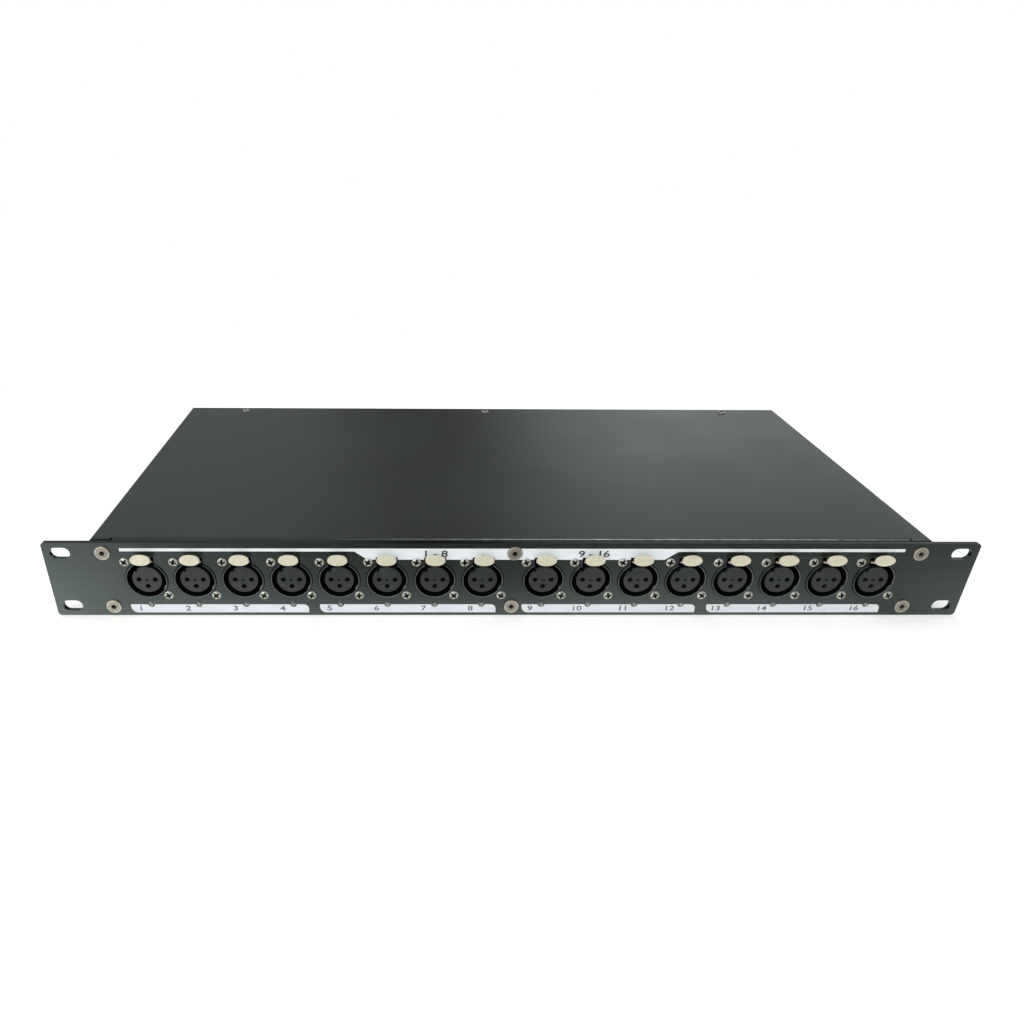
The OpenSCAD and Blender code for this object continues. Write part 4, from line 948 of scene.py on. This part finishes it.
def paintRingReflection(spec, shell, centreX):
    # the crest and the inner flank of a socket's ring take a second, lighter grey finish: a painted reflection on
    # the black nylon
    shell.data.materials.append(finishes["ring"])
    for polygon in shell.data.polygons:
        across, up = polygon.center.x - centreX, polygon.center.z
        outward = (polygon.normal.x * across + polygon.normal.z * up) / max(math.hypot(across, up), mm)
        if polygon.center.y < faceY - spec["ringProud"] and outward < spec["ringOutward"]:
            polygon.material_index = 1


def plateSprings(spec, contacts):
    # the earth springs among the contacts take a second finish
    contacts.data.materials.append(finishes["spring"])
    for polygon in contacts.data.polygons:
        centre = polygon.center
        if min(math.hypot(centre.x - x, centre.z) for x in outputX) > spec["earthRadius"]:
            polygon.material_index = 1


for k, x in enumerate(outputX):
    pieces = refineAll({node % (k + 1): looks for node, looks in socketPieces.items()})
    paintRingReflection(socket, pieces[0], x)
plateSprings(socket, refineAll(contactPieces)[1])
coat("latch_springs", finishes["spring"])
print("sockets made")


# Cross-head screws, in millimetres

screwShape = {
    "rings": 24,
    "spokes": 72,
    "crowding": 0.85,  # power that draws the rings closer towards the rim
    "fall": 0.62,  # share of its height that the dome loses towards the rim, and by which power
    "fallPower": 2.6,
    "edge": 0.35,  # and what its rounded edge loses
    "edgePower": 24,
    "armTaper": 0.06,  # the cross's arms, in shares of the head's radius
    "armSoft": 0.035,
    "tipSoft": 0.08,
    "depth": 0.66,  # of the recess, in shares of the head's height
    "tipDepth": 0.5,
    "threadRings": 42,
    "threadSpokes": 16,
    "pitch": 0.5,
    "thread": 0.16,
    "cone": 1.2,
    "firstTurn": 0.35,  # each screw stopped at its own angle
    "turnStep": 1.9,
}
socketScrew = {
    "node": "socket_screws",
    "radius": 2.4,
    "height": 1.3,
    "shank": 1.3,
    "length": 10.7,
    "arm": 0.24,
    "reach": 0.78,
}
smallScrew = {
    "node": "small_screws",
    "radius": 2.6,
    "height": 1.3,
    "shank": 1.5,
    "length": 6.0,
    "arm": 0.2,
    "reach": 0.7,
    "upright": 1.1,  # a screw this much taller than wide stands upright
}


def crossHead(spec, shape):
    # polar grid of distance u and angle v: a flattened dome, less a cross that tapers
    # from the middle to its tips, then the rim and the underside; the last list is the recess's level
    spokes = shape["spokes"]
    u = np.linspace(0, 1, shape["rings"])[:, None] ** shape["crowding"]
    v = np.linspace(0, 2 * np.pi, spokes, endpoint=False)[None, :]
    r, height, reach = spec["radius"], spec["height"], spec["reach"]
    dome = height * (1 - shape["fall"] * u ** shape["fallPower"])
    dome = dome * (1 - shape["edge"] * u ** shape["edgePower"])
    x, z = u * np.cos(v), u * np.sin(v)
    along, across = np.maximum(abs(x), abs(z)), np.minimum(abs(x), abs(z))
    width = spec["arm"] - shape["armTaper"] * along
    soft = shape["armSoft"]
    arm = np.clip((width + soft - across) / (2 * soft), 0, 1)
    arm = arm * np.clip((reach - along) / shape["tipSoft"], 0, 1)
    deep = height * shape["depth"] * (1 - shape["tipDepth"] * along / reach)
    points = np.stack([x * r, deep * arm - dome, z * r], -1)
    foot, neck = [np.stack([np.cos(v) * end, 0 * v, np.sin(v) * end], -1) for end in (r, spec["shank"])]
    level = np.concatenate([arm.reshape(-1), np.zeros(2 * spokes)])
    grid = np.vstack([points.reshape(-1, 3), foot.reshape(-1, 3), neck.reshape(-1, 3)])
    return grid, gridQuads(shape["rings"] + 2, spokes, True), level


def threadedShank(spec, shape):
    # radius is the shank's, cut by a triangle wave that climbs one pitch a turn; ends in a cone
    t = np.linspace(0, 1, shape["threadRings"])[:, None]
    v = np.linspace(0, 2 * np.pi, shape["threadSpokes"], endpoint=False)[None, :]
    wave = abs(((t * spec["length"] / shape["pitch"] + v / (2 * np.pi)) % 1) - 0.5) * 2
    point = np.clip((1 - t) * spec["length"] / shape["cone"], 0.0, 1)
    r = (spec["shank"] - shape["thread"] * wave) * point
    points = np.stack([r * np.cos(v), t * spec["length"] + 0 * v, r * np.sin(v)], -1)
    return points.reshape(-1, 3), gridQuads(shape["threadRings"], shape["threadSpokes"], True)


def screwSet(name, spec, shape, places, facing, finish):
    # heads and shanks at several places, turned to face forward, back or up
    headPoints, headQuads, level = crossHead(spec, shape)
    shankPoints, shankQuads = threadedShank(spec, shape)
    points = np.vstack([headPoints, shankPoints]) * mm
    quads = np.vstack([headQuads, shankQuads + len(headPoints)])
    parts = []
    for index, (place, way) in enumerate(zip(places, facing)):
        spin = shape["firstTurn"] + shape["turnStep"] * index
        c, s = math.cos(spin), math.sin(spin)
        turned = points @ np.array([[c, 0, s], [0, 1, 0], [-s, 0, c]])
        if way == "back":
            turned = turned * [-1, -1, 1]
        elif way == "up":
            turned = turned[:, [0, 2, 1]] * [1, 1, -1]
        parts.append((turned + np.array(place), quads))
    levels = np.tile(np.concatenate([level, np.zeros(len(shankPoints))]), len(parts))
    piece = putPiece(name, *mergeMeshes(parts), finish, "case", slotOfNode[spec["node"]],
                     sharpDegrees=50, levels=levels)
    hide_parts(spec["node"])


def islands(nodeName):
    # lowest and highest corner of each separate solid of a node: its mesh is welded and its
    # edges are walked from point to point
    work = bmesh.new()
    work.from_mesh(nodes[nodeName].data)
    bmesh.ops.remove_doubles(work, verts=work.verts, dist=meshing["weld"])
    left, found = set(work.verts), []
    while left:
        stack, group = [left.pop()], []
        while stack:
            vert = stack.pop()
            group.append(vert.co[:])
            for edge in vert.link_edges:
                other = edge.other_vert(vert)
                if other in left:
                    left.remove(other)
                    stack.append(other)
        found.append((np.min(group, 0), np.max(group, 0)))
    work.free()
    return sorted(found, key=lambda b: (round(b[0][1], 4), round(b[0][2], 4), round(b[0][0], 4)))


socketPlaces = [((low[0] + high[0]) / 2, faceY, (low[2] + high[2]) / 2)
                for low, high in islands("socket_screws")]
screwSet("socket_screws_finished", socketScrew, screwShape, socketPlaces, ["front"] * len(socketPlaces),
         finishes["screw"])
smallPlaces, smallWays = [], []
for low, high in islands("small_screws"):
    middle = (low + high) / 2
    top = high - smallScrew["height"] * mm
    if high[2] - low[2] > (high[0] - low[0]) * smallScrew["upright"]:
        smallPlaces.append((middle[0], middle[1], top[2]))
        smallWays.append("up")
    else:
        smallPlaces.append((middle[0], top[1], middle[2]))
        smallWays.append("back")
screwSet("small_screws_finished", smallScrew, screwShape, smallPlaces, smallWays, finishes["plainScrew"])
refineAll({"panel_screws": ("panelScrew", 0.08, 2)})
print("screws made:", len(socketPlaces), "+", len(smallPlaces))


# Lamps, in millimetres

lampCup = {
    "radius": 0.95,
    "depth": 0.7,
    "behindDome": 0.9,
    "outside": 1.1,  # the cup's outside, as a share of its inside
    "outsideDepth": 1.2,
    "wall": 0.05,
    "rings": 14,
    "spokes": 20,
}


def lampCups(spec, places):
    # a dished reflector: radius runs out along t and depth falls as its square, then back in
    t = np.linspace(0, 1, spec["rings"])[:, None]
    v = np.linspace(0, 2 * np.pi, spec["spokes"], endpoint=False)[None, :]
    bottom = spec["depth"] * spec["outsideDepth"] * (1 - (1 - t) ** 2) + spec["wall"]
    inner = np.stack([t * np.cos(v), spec["depth"] * (1 - t ** 2) + 0 * v, t * np.sin(v)], -1)
    outer = np.stack([(1 - t) * np.cos(v) * spec["outside"], bottom + 0 * v,
                      (1 - t) * np.sin(v) * spec["outside"]], -1)
    points = np.vstack([inner.reshape(-1, 3), outer.reshape(-1, 3)])
    points = points * np.array([spec["radius"], 1, spec["radius"]]) * mm
    quads = gridQuads(2 * spec["rings"], spec["spokes"], True)
    return mergeMeshes([(points + np.array(place), quads) for place in places])


coat("status_leds", finishes["lens"])
cups = lampCups(lampCup, [(x, lampLow.y + lampCup["behindDome"] * mm, lampZ) for x in outputX])
putPiece("lamp_reflectors", *cups, finishes["spring"], "case", "lamp_lens")
print("lamps made")


# Rear: inputs, mains inlet, fuse drawer and switch

rearPieces = {
    "input_sockets": ("inlet", 0.2, 2),
    "mains_inlet": ("inlet", 0.25, 2),
    "inlet_blades": ("spring", 0.1, 2),
    "fuse_drawer": ("inlet", 0.15, 2),
    "switch_frame": ("switch", 0.3, 3),
    "switch_rocker": ("switch", 0.25, 3),
}
rockerMarks = {
    "z": 4.6,  # distance of each mark from the rocker's axis, in millimetres
    "bar": (0.8, 3.2),
    "ring": (1.0, 1.6),
    "face": 2.45,
    "slope": 1.2 / 9,
    "restDegrees": -10.0,
    "film": 0.05,
    "steps": 40,
}


def rockerInk(spec):
    # a bar above and a ring below, laid on the rocker's two sloping faces: y = face + slope * |z|
    pivot = [joint for joint in frame["joints"] if joint["name"] == "rocker_tilt"][0]["pos_m"]
    cosine, sine = math.cos(math.radians(spec["restDegrees"])), math.sin(math.radians(spec["restDegrees"]))
    a = np.linspace(0, 2 * np.pi, spec["steps"], endpoint=False)
    circle = np.stack([np.cos(a), np.sin(a)], -1)
    square = np.array([[-1, -1], [1, -1], [1, 1], [-1, 1]]) / 2
    shapes = [(square * 0, square * spec["bar"], spec["z"]),
              (circle * spec["ring"][0], circle * spec["ring"][1], -spec["z"])]
    parts = []
    for inner, outer, middle in shapes:
        loops = []
        for flat, lift in ((inner, 0), (outer, 0), (outer, spec["film"]), (inner, spec["film"]), (inner, 0)):
            z = flat[:, 1] + middle
            y = spec["face"] + lift + spec["slope"] * abs(z)
            loops.append(np.stack([flat[:, 0], y * cosine - z * sine, y * sine + z * cosine], -1))
        parts.append((np.vstack(loops) * mm + np.array(pivot), gridQuads(len(loops), len(inner), True)))
    return mergeMeshes(parts)


refineAll(rearPieces)
coat("input_pins", finishes["pin"])
putPiece("rocker_marks", *rockerInk(rockerMarks), finishes["whiteInk"], "rocker", "switch_plastic",
         sharpDegrees=30)
print("rear made")


# Inside

inside = {
    "tinHigh": 0.3 * mm,  # of the chips' tinned legs above the board
    "rimDeep": 0.6 * mm,  # of the cans' bare rims below their tops
    "fuseCap": 5.0 * mm,
    "coreDriftMm": 400.0,  # the core's two tones have no line and blend over the whole unit
}
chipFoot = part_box("main_board")[1].z + inside["tinHigh"]
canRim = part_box("supply_capacitors")[1].z - inside["rimDeep"]
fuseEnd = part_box("fuse")[1].x - inside["fuseCap"]

coat("output_boards", finishes["greenBoard"])
coat("main_board", finishes["greenBoard"])
coat("supply_board", finishes["tanBoard"])
coat("line_driver_chips", layeredFinish("moulded_epoxy_and_tin", "Z", chipFoot, ("#B9B7AF", "#1B1B1D"),
                                        metallic=(1.0, 0.0), roughness=0.4))
coat("supply_capacitors", layeredFinish("sleeved_aluminium_can", "Z", canRim, ("#16203A", "#C4C6C8"),
                                        metallic=(0.0, 1.0), roughness=0.35))
coat("supply_transformer", layeredFinish("laminated_core", "Y", 0.0, ("#55565A", "#6A6B70"), metallic=0.6,
                                         roughness=0.45, spec={**layered, "meetMm": inside["coreDriftMm"]}))
coat("fuse", layeredFinish("capped_glass_tube", "X", fuseEnd, ("#B9C6C6", "#C9C7BE"), metallic=(0.0, 1.0),
                           roughness=0.15))
coat("internal_wiring", finishes["wire"])
print("inside made")
